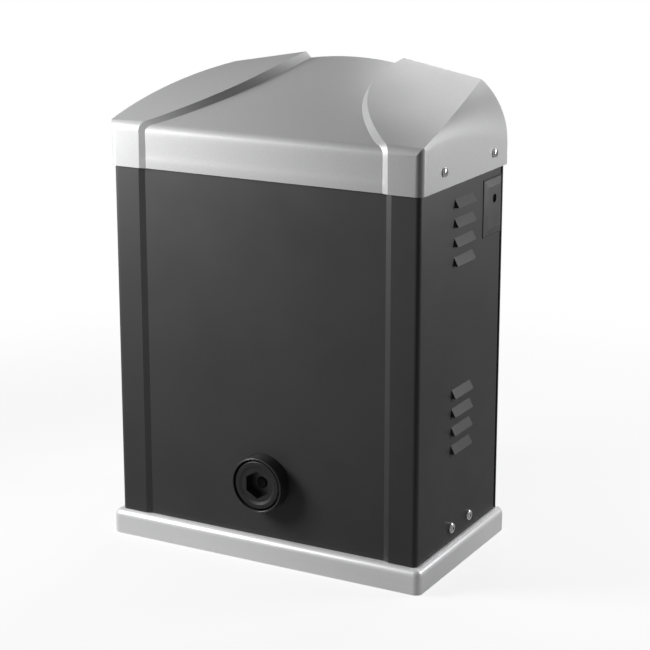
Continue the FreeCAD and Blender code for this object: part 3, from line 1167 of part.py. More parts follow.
def make_controls():
    """Sheet bracket, circuit board on standoffs, terminals, relays, transformer and run capacitor."""
    bracket = new_body("control_bracket")
    rear = "(bracket_plane + bracket_gauge)"
    waist, top = "(flange_height + 10)", "bracket_top"
    left, right = "bracket_left", "(bracket_left + board_width + 8)"
    stem_left, stem_right = "(bracket_left + 38)", "(bracket_left + 76)"
    pad(bracket, "XZ", "bracket_plane", rear, polygon(
        (stem_left, "plinth_height"), (stem_right, "plinth_height"), (stem_right, f"{waist} - 16"), (right, waist),
        (right, top), (left, top), (left, waist), (stem_left, f"{waist} - 16")))
    pad(bracket, "XY", "plinth_height", "plinth_height + bracket_gauge",
        box(stem_left, "bracket_plane - 24", stem_right, "bracket_plane"))
    pocket(bracket, "XY", "plinth_height", "plinth_height + bracket_gauge",
           *[circle(f"{x}", "bracket_plane - 14", "2.7") for x in (f"{stem_left} + 9", f"{stem_right} - 9")])
    screws = new_body("bracket_screws")
    feet = [(f"{x}", "bracket_plane - 14") for x in (f"{stem_left} + 9", f"{stem_right} - 9")]
    seat = "(plinth_height + bracket_gauge)"
    pad(screws, "XY", seat, f"{seat} + 3", *[circle(x, y, "4.6") for x, y in feet])
    pad(screws, "XY", "plinth_height + 0.1", seat, *[circle(x, y, "2.5") for x, y in feet])
    posts = new_body("board_standoffs")
    pad(posts, "XZ", BOARD_BACK, "bracket_plane", *[hexagon(x, z, "6") for x, z in STANDOFFS])
    board = new_body("control_board")
    pad(board, "XZ", BOARD_FACE, BOARD_BACK, centred(BOARD_X, BOARD_Z, "board_width", "board_height"))
    low, high = f"({BOARD_Z} - board_height / 2)", f"({BOARD_Z} + board_height / 2)"
    blocks = new_body("terminal_blocks")
    rows = [(f"{BOARD_X} - 26", f"{low} + 10", "42"), (f"{BOARD_X} + 26", f"{low} + 10", "42"),
            (f"{BOARD_X} - 10", f"{high} - 10", "60")]
    pad(blocks, "XZ", f"{BOARD_FACE} - 12", BOARD_FACE, *[centred(x, z, length, "9") for x, z, length in rows])
    for x, z, length in rows:
        count = int(value(length) / 6)
        ways = [circle(f"{x} + ({number} - {(count - 1) / 2}) * 6", z, "1.8") for number in range(count)]
        pocket(blocks, "XZ", f"{BOARD_FACE} - 12", f"{BOARD_FACE} - 9", *ways)
    relays = new_body("relays")
    pad(relays, "XZ", f"{BOARD_FACE} - 16", BOARD_FACE,
        *[centred(f"{BOARD_X} + {x}", f"{BOARD_Z} + 34", "15", "19") for x in (-38, -18, 2)])
    supply = new_body("supply_transformer")
    pad(supply, "XZ", f"{BOARD_FACE} - 24", BOARD_FACE, centred(f"{BOARD_X} + 28", f"{BOARD_Z} - 34", "34", "38"))
    round_edges(supply, "2", lambda edge: runs_along(edge, "Y"))
    reservoir = new_body("reservoir_capacitors")
    pad(reservoir, "XZ", f"{BOARD_FACE} - 20", BOARD_FACE,
        *[circle(f"{BOARD_X} + {x}", f"{BOARD_Z} - 40", "7") for x in (-38, -20)])
    round_edges(reservoir, "1", lambda edge: lies_at(edge, "Y", f"{BOARD_FACE} - 20"))
    run = new_body("run_capacitor", f"{BOARD_X} + 6", f"{rear} + 22.2", "0")
    base, height = f"({BOARD_Z} - 46)", "92"
    turn(run, "Z", [(base, "0.01"), (base, "18"), (f"{base} + 2", "20"), (f"{base} + {height}", "20"),
                    (f"{base} + {height} + 2", "18"), (f"{base} + {height} + 2", "6"),
                    (f"{base} + {height} + 8", "5"), (f"{base} + {height} + 8", "0.01")])
    clamp = new_body("capacitor_clamp", f"{BOARD_X} + 6", f"{rear} + 22.2", "0")
    middle = f"({base} + {height} / 2)"
    turn(clamp, "Z", tube(f"{middle} - 7", f"{middle} + 7", "20", "21.5"))
    pad(clamp, "XY", f"{middle} - 7", f"{middle} + 7", box("-34", "-22.2", "34", "-20.7"))


def make_limit_switch():
    """Limit switch: housing with two microswitches behind the rear panel, sprung lever outside it."""
    x, z = "limit_offset", "limit_height"
    housing = new_body("limit_switch_housing", x, "0", z)
    front, width, height, wall = f"({PANEL_FRONT} - 29)", "54", "46", "2.5"
    pad(housing, "XZ", front, PANEL_FRONT, centred("0", "0", width, height))
    round_edges(housing, "4", lambda edge: runs_along(edge, "Y"))
    pocket(housing, "XZ", front, f"{PANEL_FRONT} - {wall}",
           centred("0", "0", f"{width} - 2 * {wall}", f"{height} - 2 * {wall}"))
    pad(housing, "XZ", f"{PANEL_FRONT} - 0.5", f"{REAR} + 3", circle("0", "0", "limit_shaft_radius + 4.9"))
    pocket(housing, "XZ", f"{PANEL_FRONT} - {wall} - 1", f"{REAR} + 3", circle("0", "0", "limit_shaft_radius + running_fit"))
    lid = new_body("limit_switch_lid", x, "0", z)
    pad(lid, "XZ", f"{front} - 2", front, centred("0", "0", width, height))
    round_edges(lid, "4", lambda edge: runs_along(edge, "Y"))
    switches = new_body("microswitches", x, "0", z)
    pad(switches, "XZ", f"{PANEL_FRONT} - {wall} - 12", f"{PANEL_FRONT} - {wall}",
        *[centred(f"{side} * 17", "-7", "14", "24") for side in (-1, 1)])
    shaft = new_body("limit_cam_shaft", x, "0", z)
    cam_start, cam_end = f"({PANEL_FRONT} - {wall} - 13)", f"({PANEL_FRONT} - {wall} - 2)"
    turn(shaft, "Y", [(f"{front} + 4", "0.01"), (f"{front} + 4", "limit_shaft_radius"), (cam_start, "limit_shaft_radius"),
                      (cam_start, "8"), (cam_end, "8"), (cam_end, "limit_shaft_radius"),
                      (f"{REAR} + 14", "limit_shaft_radius"), (f"{REAR} + 14", "0.01")])
    pad(shaft, "XZ", cam_start, cam_end, polygon(("-3", "-5"), ("3", "-5"), ("1.5", "-13"), ("-1.5", "-13")))
    lever = new_body("limit_lever", x, "0", z)
    start, end = f"({REAR} + 3.3)", f"({REAR} + 14)"
    pad(lever, "XZ", start, end, circle("0", "0", "9"))
    pad(lever, "XY", "5", "14", circle("0", f"({start} + {end}) / 2", "5.3"))
    pocket(lever, "XZ", start, end, circle("0", "0", "limit_shaft_radius"))
    wand = new_body("limit_wand", x, f"({start} + {end}) / 2", z)
    turn(wand, "Z", [("14", "0.01"), ("14", "4.4"), ("14 + wand_length / 2", "4.4"), ("14 + wand_length / 2 + 2", "2"),
                     ("10 + wand_length", "2"), ("10 + wand_length", "5"), ("22 + wand_length", "5"),
                     ("22 + wand_length", "0.01")])


# --------------------------------------------------------------------------------------------------
# Lock
# --------------------------------------------------------------------------------------------------
def make_lock():
    """Cam lock of the cover: escutcheon, barrel, plug with cam, and the striker on the rear panel."""
    y, z = "lock_setback", LOCK_HEIGHT
    line = ("0", y, z)
    plate = new_body("lock_escutcheon", *line)
    width, height, rise = "lock_plate_width", "lock_plate_height", "lock_plate_rise"
    side_wall = f"({HALF_WIDTH} + {rise} - lock_plate_slope)"
    pad(plate, "YZ", HALF_WIDTH, side_wall, centred("0", "-lock_plate_drop", width, height))
    inner = "2 * lock_plate_chamfer"
    loft(plate, "Additive", "YZ", (side_wall, centred("0", "-lock_plate_drop", width, height)),
         (f"({HALF_WIDTH} + {rise})", centred("0", "-lock_plate_drop", f"{width} - {inner}", f"{height} - {inner}")))
    pocket(plate, "YZ", HALF_WIDTH, f"{HALF_WIDTH} + {rise}", circle("0", "0", "keyhole_radius"))
    barrel = new_body("lock_barrel", *line)
    inside, outside = f"({HALF_WIDTH} - 22)", HALF_WIDTH
    turn(barrel, "X", tube(inside, outside, "plug_radius + running_fit", "plug_radius + 3"))
    nut = new_body("lock_nut", *line)
    turn(nut, "X", tube(f"{INNER_X} - 4", INNER_X, "plug_radius + 3", "plug_radius + 8"))
    plug = new_body("lock_plug", *line)
    turn(plug, "X", [(f"{inside} - 2", "0.01"), (f"{inside} - 2", "plug_radius"), (f"{HALF_WIDTH} - 3", "plug_radius"),
                     (f"{HALF_WIDTH} - 3", "0.01")])
    pocket(plug, "YZ", f"{HALF_WIDTH} - 14", f"{HALF_WIDTH} - 3", centred("0", "0", "1.6", "7"))
    cam = new_body("lock_cam", *line)
    pad(cam, "YZ", f"{inside} - 5", f"{inside} - 2", box("-5", "-19", "5", "6"))
    round_edges(cam, "2", lambda edge: runs_along(edge, "X"))
    striker = new_body("lock_striker")
    arm, low, high = f"({inside} - 11)", f"{LOCK_HEIGHT} - 24", f"{LOCK_HEIGHT} - 10"
    lip = "(lock_setback - 7.5)"
    outline = [(arm, lip), (f"{inside} + 1", lip), (f"{inside} + 1", f"{lip} + 2"), (f"{arm} + 2", f"{lip} + 2"),
               (f"{arm} + 2", PANEL_FRONT), (f"{arm} - 18", PANEL_FRONT), (f"{arm} - 18", f"{PANEL_FRONT} - 2"),
               (arm, f"{PANEL_FRONT} - 2")]
    pad(striker, "XY", low, high, polygon(*outline))


MAKERS = (
    make_plinth, make_grommet, make_front_cover, make_rear_panel, make_cap, make_cover_brackets, make_panel_screws,
    make_gearcase, make_gearcase_cover, make_gasket, make_case_screws, make_case_bolts, make_output_shaft,
    make_bearings, make_seals, make_pinion, make_pinion_fixings, make_worm_wheel, make_clutch, make_release,
    make_rotor, make_motor, make_controls, make_limit_switch, make_lock, make_side_screws, make_rivet_nuts,
)


def main():
    """Build every sub-part, check the whole document and write one STEP file per node."""
    for make in MAKERS:
        make()
    doc.recompute()
    for item in doc.Objects:
        if {"Invalid", "Error"} & set(item.State):
            raise RuntimeError(f"{item.Label} is not up to date: {item.State}")
    os.makedirs("parts", exist_ok=True)
    for label, node in nodes.items():
        shape = node.Shape
        if shape.isNull() or not shape.isValid():
            raise RuntimeError(f"{label} has no valid shape")
        shape.exportStep(f"parts/{label}.step")
        print(f"{label}: {len(shape.Solids)} solids, {shape.Volume / 1000:.2f} cm3")


main()
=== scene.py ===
"""Looks of a sliding gate motor: its finishes, the pieces that only the looks need, and the studio.

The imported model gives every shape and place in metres, with +X to the right of the front panel, -Y out
of it and +Z up. Each sub-assembly is a class that dresses its own nodes and models its extra pieces.
"""

import logging
import math
from dataclasses import dataclass, field
from enum import Enum
from typing import Any, Mapping, Sequence

import bpy
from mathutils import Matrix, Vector

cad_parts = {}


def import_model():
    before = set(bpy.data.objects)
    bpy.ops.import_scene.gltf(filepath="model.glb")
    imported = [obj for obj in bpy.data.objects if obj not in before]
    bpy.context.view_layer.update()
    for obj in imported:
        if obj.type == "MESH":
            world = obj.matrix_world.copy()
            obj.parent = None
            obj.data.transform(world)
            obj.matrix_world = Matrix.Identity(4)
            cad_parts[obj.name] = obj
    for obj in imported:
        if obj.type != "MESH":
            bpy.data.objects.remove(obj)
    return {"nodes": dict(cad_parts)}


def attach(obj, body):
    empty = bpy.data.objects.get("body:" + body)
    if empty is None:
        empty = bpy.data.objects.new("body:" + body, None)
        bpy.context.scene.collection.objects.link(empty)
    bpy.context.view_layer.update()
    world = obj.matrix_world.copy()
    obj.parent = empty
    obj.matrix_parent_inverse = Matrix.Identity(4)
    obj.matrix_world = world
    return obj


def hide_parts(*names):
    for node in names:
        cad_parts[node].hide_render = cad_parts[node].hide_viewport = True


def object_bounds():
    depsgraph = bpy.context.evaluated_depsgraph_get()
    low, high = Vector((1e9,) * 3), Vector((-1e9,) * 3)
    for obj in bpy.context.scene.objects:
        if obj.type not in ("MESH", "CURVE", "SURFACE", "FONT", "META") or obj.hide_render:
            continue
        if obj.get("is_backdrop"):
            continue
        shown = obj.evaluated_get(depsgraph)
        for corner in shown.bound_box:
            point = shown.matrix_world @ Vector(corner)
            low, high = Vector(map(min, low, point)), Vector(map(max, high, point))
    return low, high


LOG = logging.getLogger("gate_motor")
MERGE_DISTANCE = 0.000002
ROUND_SIDES = 48
CORNER_SIDES = 96
WIRE_SIDES = 12
STEPS_PER_TURN = 24
EDGE_SEGMENTS = 3
SHARP_ABOVE = 40.0
SMOOTH_BELOW = 35.0

Colour = tuple[float, float, float]
Point = tuple[float, float, float]

OUTPUT_AXIS: Point = (0.0, 0.0, 0.074)
WORM_AXIS: Point = (-0.0515, 0.008, 0.0)


# --------------------------------------------------------------------------------------------------
# Shader maths
# --------------------------------------------------------------------------------------------------
class Signal:
    """One output of a shader node that takes part in Python arithmetic."""

    def __init__(self, tree: "Tree", socket: bpy.types.NodeSocket) -> None:
        """Wrap a socket of a tree."""
        self.tree = tree
        self.socket = socket

    def _math(self, operation: str, *values: "Signal | float") -> "Signal":
        """Add a Math node that works on this signal and other values."""
        return self.tree.math(operation, *values)

    def __add__(self, other: "Signal | float") -> "Signal":
        """Sum."""
        return self._math("ADD", self, other)

    def __sub__(self, other: "Signal | float") -> "Signal":
        """Difference."""
        return self._math("SUBTRACT", self, other)

    def __rsub__(self, other: "Signal | float") -> "Signal":
        """Difference from a number."""
        return self._math("SUBTRACT", other, self)

    def __mul__(self, other: "Signal | float") -> "Signal":
        """Product."""
        return self._math("MULTIPLY", self, other)

    def __truediv__(self, other: "Signal | float") -> "Signal":
        """Quotient."""
        return self._math("DIVIDE", self, other)

    __radd__ = __add__

    def between(self, low: float, high: float) -> "Signal":
        """Rise smoothly from 0 at low to 1 at high, or fall where low is above high.

        Args:
            low: Value of this signal that gives 0.
            high: Value of this signal that gives 1.

        Returns:
            The smoothed and clamped signal.
        """
        ends = {"Value": self, "From Min": min(low, high), "From Max": max(low, high)}
        rising = self.tree.node("MapRange", {"interpolation_type": "SMOOTHSTEP"}, ends)
        return rising if low < high else 1 - rising


class Tree:
    """The node tree of one new material."""

    def __init__(self, name: str) -> None:
        """Start a material whose only nodes are its shader and its output.

        Args:
            name: Name of the material.
        """
        self.material = bpy.data.materials.new(name)
        self.material.use_nodes = True
        self.nodes = self.material.node_tree.nodes
        self.links = self.material.node_tree.links
        self.shader = next(node for node in self.nodes if node.type == "BSDF_PRINCIPLED")

    def node(self, kind: str, settings: Mapping[str, Any], inputs: Mapping[str | int, Any],
             output: str | int = 0) -> Signal:
        """Add one node.

        Args:
            kind: Node type without its ShaderNode prefix.
            settings: Properties of the node, set before its sockets.
            inputs: Values or signals of its sockets, by name or number.
            output: The output to return, by name or number.

        Returns:
            The chosen output.
        """
        made = self.nodes.new(f"ShaderNode{kind}")
        for key, setting in settings.items():
            setattr(made, key, setting)
        for key, given in inputs.items():
            self.feed(made.inputs[key], given)
        return Signal(self, made.outputs[output])

    def feed(self, socket: bpy.types.NodeSocket, given: Any) -> None:
        """Link a signal to a socket, or set the socket's own value.

        Args:
            socket: The input socket.
            given: A signal, a number, a vector or a colour.
        """
        if isinstance(given, Signal):
            self.links.new(given.socket, socket)
        elif socket.type == "RGBA":
            socket.default_value = (*given, 1.0)
        else:
            socket.default_value = given

    def math(self, operation: str, *values: "Signal | float") -> Signal:
        """Add a Math node."""
        return self.node("Math", {"operation": operation}, dict(enumerate(values)))

    def place(self) -> Signal:
        """Position on the piece, in metres of the part's own frame."""
        return self.node("TexCoord", {}, {}, "Object")

    def axes(self) -> tuple[Signal, Signal, Signal]:
        """The three coordinates of the position, one by one."""
        split = self.node("SeparateXYZ", {}, {0: self.place()})
        outputs = split.socket.node.outputs
        return tuple(Signal(self, outputs[axis]) for axis in "XYZ")

    def stretched(self, scale: Sequence[float]) -> Signal:
        """Position scaled by different amounts along X, Y and Z, for brush marks."""
        return self.node("Mapping", {}, {"Vector": self.place(), "Scale": scale})

    def noise(self, grain: float, detail: float = 2.0, vector: Signal | None = None,
              roughness: float = 0.5) -> Signal:
        """Cloud noise from 0 to 1.

        Args:
            grain: Size of its spots in metres, or 1 where the vector is scaled already.
            detail: Octaves of finer noise.
            vector: Coordinates to use in place of the position.
            roughness: Strength of the finer octaves.

        Returns:
            The noise.
        """
        where = vector or self.place()
        inputs = {"Vector": where, "Scale": 1 / grain, "Detail": detail, "Roughness": roughness}
        return self.node("TexNoise", {}, inputs)

    def cells(self, size: float) -> Signal:
        """Distance to the nearest of many scattered points, for flakes and pits."""
        return self.node("TexVoronoi", {}, {"Vector": self.place(), "Scale": 1 / size})

    def mix(self, share: "Signal | float", first: Any, second: Any) -> Signal:
        """Blend two colours by a share from 0 to 1."""
        return self.node("Mix", {"data_type": "RGBA"}, {0: share, 6: first, 7: second}, 2)

    def bump(self, height: Signal, depth: float) -> Signal:
        """Turn a height from 0 to 1 into a surface normal.

        Args:
            height: The height signal.
            depth: Real depth in metres.

        Returns:
            The bent normal.
        """
        return self.node("Bump", {}, {"Strength": 1.0, "Distance": depth, "Height": height})

    def finish(self, **sockets: Any) -> bpy.types.Material:
        """Feed the shader and return the material.

        Args:
            sockets: Values of the shader's sockets, with underscores for the spaces in their names.

        Returns:
            The finished material.
        """
        for key, given in sockets.items():
            self.feed(self.shader.inputs[key.replace("_", " ")], given)
        return self.material


# --------------------------------------------------------------------------------------------------
# Finishes
# --------------------------------------------------------------------------------------------------
@dataclass(frozen=True)
class Finish:
    """A finish that many pieces can share."""

    name: str
    colour: Colour
    roughness: float = 0.5

    def build(self) -> bpy.types.Material:
        """Make the material of this finish."""
        raise NotImplementedError

    def soiled(self, tree: Tree, size: float, amount: float) -> Signal:
        """Colour with faint, large patches of a darker tone, as handled things have."""
        patches = tree.noise(size, 4.0).between(0.35, 0.75)
        darker = tuple(part * (1 - amount) for part in self.colour)
        return tree.mix(patches, self.colour, darker)


@dataclass(frozen=True)
class PowderCoat(Finish):
    """Baked powder paint on sheet metal: a fine, even orange peel, with small glints painted into the
    colour as lighter specks (painted highlight).
    """

    peel: float = 0.0011
    depth: float = 0.00003
    sheen: float = 0.25

    def build(self) -> bpy.types.Material:
        """Make the material of this finish."""
        tree = Tree(self.name)
        peel = tree.noise(self.peel, 3.0)
        grit = tree.noise(self.peel / 5, 1.0)
        normal = tree.bump(peel * 0.7 + grit * 0.3, self.depth)
        # Painted highlight: small specks of lighter colour stand in for glints of light; they are also a
        # little smoother.
        painted_glint = tree.noise(self.peel / 3, 1.0).between(0.62, 0.75)
        painted_glint_colour = tuple(min(1.0, part * 1.5 + 0.01) for part in self.colour)
        colour = tree.mix(painted_glint * 0.35, self.soiled(tree, 0.09, 0.12), painted_glint_colour)
        roughness = self.roughness + (tree.noise(0.03, 3.0) - 0.5) * 0.12 - painted_glint * 0.08
        return tree.finish(Base_Color=colour, Roughness=roughness, Normal=normal,
                           Specular_IOR_Level=self.sheen)


@dataclass(frozen=True)
class PearlPaint(Finish):
    """Silver-grey paint on a moulded cap: fine metal flakes under a thin satin coat."""

    flake: float = 0.0007

    def build(self) -> bpy.types.Material:
        """Make the material of this finish."""
        tree = Tree(self.name)
        flakes = tree.cells(self.flake).between(0.55, 0.15)
        tone = tuple(part * 1.16 for part in self.colour)
        shade = tuple(part * 0.9 for part in self.colour)
        colour = tree.mix(flakes, self.soiled(tree, 0.14, 0.05), tone)
        colour = tree.mix(tree.noise(0.0016, 2.0) * 0.35, colour, shade)
        normal = tree.bump(tree.noise(0.0021, 2.0) * 0.6 + tree.noise(0.0005, 1.0) * 0.4, 0.000018)
        roughness = self.roughness + (tree.noise(0.05, 3.0) - 0.5) * 0.1 - flakes * 0.05
        return tree.finish(Base_Color=colour, Metallic=0.15, Roughness=roughness, Normal=normal,
                           Coat_Weight=0.06, Coat_Roughness=0.35, Specular_IOR_Level=0.4)


@dataclass(frozen=True)
class MouldedPlastic(Finish):
    """Spark-eroded plastic: an even, shallow grain with handling sheen."""

    grain: float = 0.0006
    depth: float = 0.00002
    metallic: float = 0.0

    def build(self) -> bpy.types.Material:
        """Make the material of this finish."""
        tree = Tree(self.name)
        pits = tree.cells(self.grain)
        normal = tree.bump(pits * 0.6 + tree.noise(self.grain * 4, 2.0) * 0.4, self.depth)
        worn = tree.noise(0.02, 4.0).between(0.5, 0.8)
        roughness = self.roughness - worn * 0.08 + (pits - 0.5) * 0.06
        return tree.finish(Base_Color=self.soiled(tree, 0.025, 0.15), Roughness=roughness, Normal=normal,
                           Metallic=self.metallic)


@dataclass(frozen=True)
class BrushedMetal(Finish):
    """Metal with fine straight brush marks along one axis."""

    along: int = 0
    strength: float = 0.000012
    tarnish: float = 0.12
    metallic: float = 1.0
    marks_per_metre: float = 1800.0
    breaks_per_metre: float = 12.0

    def build(self) -> bpy.types.Material:
        """Make the material of this finish."""
        tree = Tree(self.name)
        scale = [self.marks_per_metre] * 3
        scale[self.along] = self.breaks_per_metre
        marks = tree.noise(1.0, 3.0, tree.stretched(scale), 0.7)
        wide = [size / 6 for size in scale]
        bands = tree.noise(1.0, 2.0, tree.stretched(wide))
        normal = tree.bump(marks * 0.7 + bands * 0.3, self.strength)
        dull = tuple(part * (1 - self.tarnish) for part in self.colour)
        colour = tree.mix(bands * 0.5 + tree.noise(0.04, 3.0) * 0.5, self.colour, dull)
        roughness = self.roughness + (marks - 0.5) * 0.16 + (tree.noise(0.03, 4.0) - 0.5) * 0.12
        return tree.finish(Base_Color=colour, Metallic=self.metallic, Roughness=roughness, Normal=normal)


@dataclass(frozen=True)
class TurnedMetal(Finish):
    """Machined metal with tool rings about an axis through a given centre."""

    centre: Point = (0.0, 0.0, 0.0)
    axis: int = 1
    pitch: float = 0.0005
    depth: float = 0.000008

    def build(self) -> bpy.types.Material:
        """Make the material of this finish."""
        tree = Tree(self.name)
        offsets = [part - middle for part, middle in zip(tree.axes(), self.centre)]
        along = offsets.pop(self.axis)
        radius = tree.math("SQRT", offsets[0] * offsets[0] + offsets[1] * offsets[1])
        jitter = tree.noise(0.004, 2.0) * 0.6
        rings = tree.math("SINE", (radius + along) * (math.tau / self.pitch) + jitter * 6) * 0.5 + 0.5
        normal = tree.bump(rings * 0.7 + tree.noise(0.0009, 2.0) * 0.3, self.depth)
        stain = tree.noise(0.012, 4.0).between(0.4, 0.8)
        dull = tuple(part * 0.72 for part in self.colour)
        colour = tree.mix(stain * 0.6, self.colour, dull)
        roughness = self.roughness + stain * 0.14 + (rings - 0.5) * 0.06
        return tree.finish(Base_Color=colour, Metallic=1.0, Roughness=roughness, Normal=normal)


@dataclass(frozen=True)
class CastMetal(Finish):
    """Die- or sand-cast alloy: pebbled skin with darker hollows."""

    grain: float = 0.0014
    depth: float = 0.00012
    metallic: float = 0.85

    def build(self) -> bpy.types.Material:
        """Make the material of this finish."""
        tree = Tree(self.name)
        skin = tree.noise(self.grain, 4.0, None, 0.6)
        pits = tree.cells(self.grain * 2).between(0.0, 0.25)
        normal = tree.bump(skin * 0.8 + pits * 0.2, self.depth)
        shade = tuple(part * 0.6 for part in self.colour)
        colour = tree.mix((1 - skin) * 0.7, self.colour, shade)
        roughness = self.roughness + (skin - 0.5) * 0.25
        return tree.finish(Base_Color=colour, Metallic=self.metallic, Roughness=roughness, Normal=normal)


@dataclass(frozen=True)
class Plated(Finish):
    """Plated steel: bright or zinc skin with faint clouding."""

    spangle: float = 0.003
    cloud: float = 0.15

    def build(self) -> bpy.types.Material:
        """Make the material of this finish."""
        tree = Tree(self.name)
        clouds = tree.noise(self.spangle, 4.0)
        shade = tuple(part * (1 - self.cloud) for part in self.colour)
        colour = tree.mix(clouds.between(0.35, 0.7), self.colour, shade)
        normal = tree.bump(tree.noise(self.spangle / 3, 2.0), 0.00001)
        roughness = self.roughness + (clouds - 0.5) * 0.2
        return tree.finish(Base_Color=colour, Metallic=1.0, Roughness=roughness, Normal=normal)


@dataclass(frozen=True)
class Striped(Finish):
    """Pieces made of many thin layers or turns, such as laminations and windings."""

    second: Colour = (0.1, 0.1, 0.1)
    pitch: float = 0.0006
    metallic: float = 0.6
    tilt: float = 0.0

    def build(self) -> bpy.types.Material:
        """Make the material of this finish."""
        tree = Tree(self.name)
        x, y, z = tree.axes()
        across = z + (x + y) * self.tilt + tree.noise(0.01, 2.0) * (self.pitch * 0.8)
        layers = tree.math("SINE", across * (math.tau / self.pitch)) * 0.5 + 0.5
        colour = tree.mix(layers.between(0.1, 0.5), self.second, self.colour)
        normal = tree.bump(layers, self.pitch * 0.25)
        roughness = self.roughness + (1 - layers) * 0.2
        return tree.finish(Base_Color=colour, Metallic=self.metallic, Roughness=roughness, Normal=normal)


@dataclass(frozen=True)
class SolderMask(Finish):
    """Circuit board: green lacquer over copper tracks on a regular grid."""

    track: Colour = (0.05, 0.3, 0.12)
    row_pitch: float = 0.0034
    column_pitch: float = 0.0051

    def build(self) -> bpy.types.Material:
        """Make the material of this finish."""
        tree = Tree(self.name)
        x, _, z = tree.axes()
        wander = tree.noise(0.02, 0.0).between(0.45, 0.55) * 0.004
        rows = tree.math("FRACT", (z + wander) / self.row_pitch).between(0.5, 0.6)
        columns = tree.math("FRACT", (x + wander) / self.column_pitch).between(0.7, 0.8)
        tracks = tree.math("MAXIMUM", rows * tree.noise(0.03, 1.0).between(0.45, 0.5), columns * 0.6)
        normal = tree.bump(tracks, 0.00004)
        colour = tree.mix(tracks, self.colour, self.track)
        return tree.finish(Base_Color=colour, Roughness=self.roughness - tracks * 0.1, Normal=normal,
                           Coat_Weight=0.3)


class Paint(Enum):
    """Every finish on the gate motor."""

    CAP = PearlPaint("cap_silver_grey", (0.42, 0.42, 0.425), 0.48)
    CABINET = PowderCoat("cabinet_anthracite", (0.047, 0.047, 0.048), 0.42)
    REAR_PANEL = PowderCoat("rear_panel_anthracite", (0.05, 0.05, 0.051), 0.46)
    PLINTH = BrushedMetal("plinth_brushed", (0.92, 0.92, 0.93), 0.38, 0, 0.000012, 0.1, 0.3)
    OXIDE = Plated("blackened_steel", (0.02, 0.02, 0.021), 0.5)
    CHROME = Plated("screw_chrome", (0.5, 0.5, 0.51), 0.16, 0.002, 0.1)
    ZINC = Plated("zinc_plated_steel", (0.6, 0.61, 0.63), 0.32)
    ZINC_SHEET = Plated("zinc_sheet", (0.58, 0.59, 0.6), 0.36, 0.009, 0.2)
    COLLAR = MouldedPlastic("collar_black", (0.028, 0.028, 0.029), 0.38)
    HUB = TurnedMetal("hub_blackened", (0.07, 0.07, 0.072), 0.4, OUTPUT_AXIS)
    ESCUTCHEON = MouldedPlastic("escutcheon_dark_grey", (0.06, 0.06, 0.061), 0.34)
    LOCK = Plated("lock_nickel", (0.5, 0.5, 0.48), 0.3)
    RUBBER = MouldedPlastic("black_rubber", (0.012, 0.012, 0.012), 0.7, 0.0009)
    CAST = CastMetal("cast_alloy", (0.5, 0.5, 0.51), 0.5)
    SHELL = CastMetal("motor_shell_alloy", (0.42, 0.42, 0.43), 0.45, 0.001, 0.00006)
    STEEL = TurnedMetal("turned_steel", (0.52, 0.52, 0.53), 0.28, OUTPUT_AXIS)
    GEAR = TurnedMetal("gear_steel", (0.40, 0.39, 0.38), 0.33, OUTPUT_AXIS, 1, 0.0008)
    WORM = TurnedMetal("worm_steel", (0.42, 0.41, 0.40), 0.25, WORM_AXIS, 2)
    BEARING = TurnedMetal("bearing_steel", (0.58, 0.58, 0.6), 0.2, OUTPUT_AXIS, 1, 0.0003)
    BRONZE = TurnedMetal("wheel_bronze", (0.55, 0.33, 0.12), 0.3, OUTPUT_AXIS)
    PAPER = MouldedPlastic("gasket_paper", (0.12, 0.16, 0.12), 0.85, 0.0012)
    LAMINATED = Striped("laminated_steel", (0.33, 0.33, 0.34), 0.4)
    COPPER = Striped("varnished_copper", (0.5, 0.17, 0.05), 0.3, (0.12, 0.03, 0.01), 0.0009, 0.8, 0.6)
    BOARD = SolderMask("circuit_board", (0.01, 0.1, 0.035), 0.35)
    TERMINAL = MouldedPlastic("terminal_green", (0.02, 0.2, 0.08), 0.45)
    RELAY = MouldedPlastic("relay_blue", (0.02, 0.08, 0.24), 0.35)
    RESIN = MouldedPlastic("transformer_resin", (0.02, 0.02, 0.02), 0.5)
    SLEEVE = MouldedPlastic("capacitor_sleeve", (0.01, 0.01, 0.025), 0.3)
    CAN = MouldedPlastic("capacitor_can", (0.6, 0.6, 0.57), 0.4)
    SWITCH = MouldedPlastic("switch_black", (0.02, 0.02, 0.02), 0.45)
    MICROSWITCH = MouldedPlastic("microswitch_red", (0.25, 0.02, 0.015), 0.4)
    NYLON = MouldedPlastic("natural_nylon", (0.62, 0.6, 0.54), 0.45)
    SPRING = Plated("spring_steel", (0.45, 0.45, 0.46), 0.25)

    @property
    def material(self) -> bpy.types.Material:
        """The finish's material, made at its first use."""
        return bpy.data.materials.get(self.value.name) or self.value.build()


# --------------------------------------------------------------------------------------------------
# Modelling helpers
# --------------------------------------------------------------------------------------------------
def deselect_all() -> None:
    """Leave nothing selected, so that an operator acts on new geometry only."""
    for item in bpy.context.selected_objects:
        item.select_set(False)


def active_piece(name: str) -> bpy.types.Object:
    """Name the object that an operator has just added."""
    piece = bpy.context.active_object
    piece.name = name
    piece.data.name = name
    return piece


def activate(piece: bpy.types.Object) -> None:
    """Select one piece alone and make it active."""
    deselect_all()
    piece.select_set(True)
    bpy.context.view_layer.objects.active = piece


def apply_place(piece: bpy.types.Object) -> None:
    """Bring the object to the origin, with its place in its mesh."""
    activate(piece)
    bpy.ops.object.transform_apply(location=True, rotation=True, scale=True)


def add_modifier(piece: bpy.types.Object, kind: str, **settings: Any) -> None:
    """Add a modifier to a piece and apply it.

    Args:
        piece: The mesh object.
        kind: Modifier type.
        settings: Properties of the modifier.
    """
    activate(piece)
    modifier = piece.modifiers.new(kind.title(), kind)
    for key, setting in settings.items():
        setattr(modifier, key, setting)
    bpy.ops.object.modifier_apply(modifier=modifier.name)


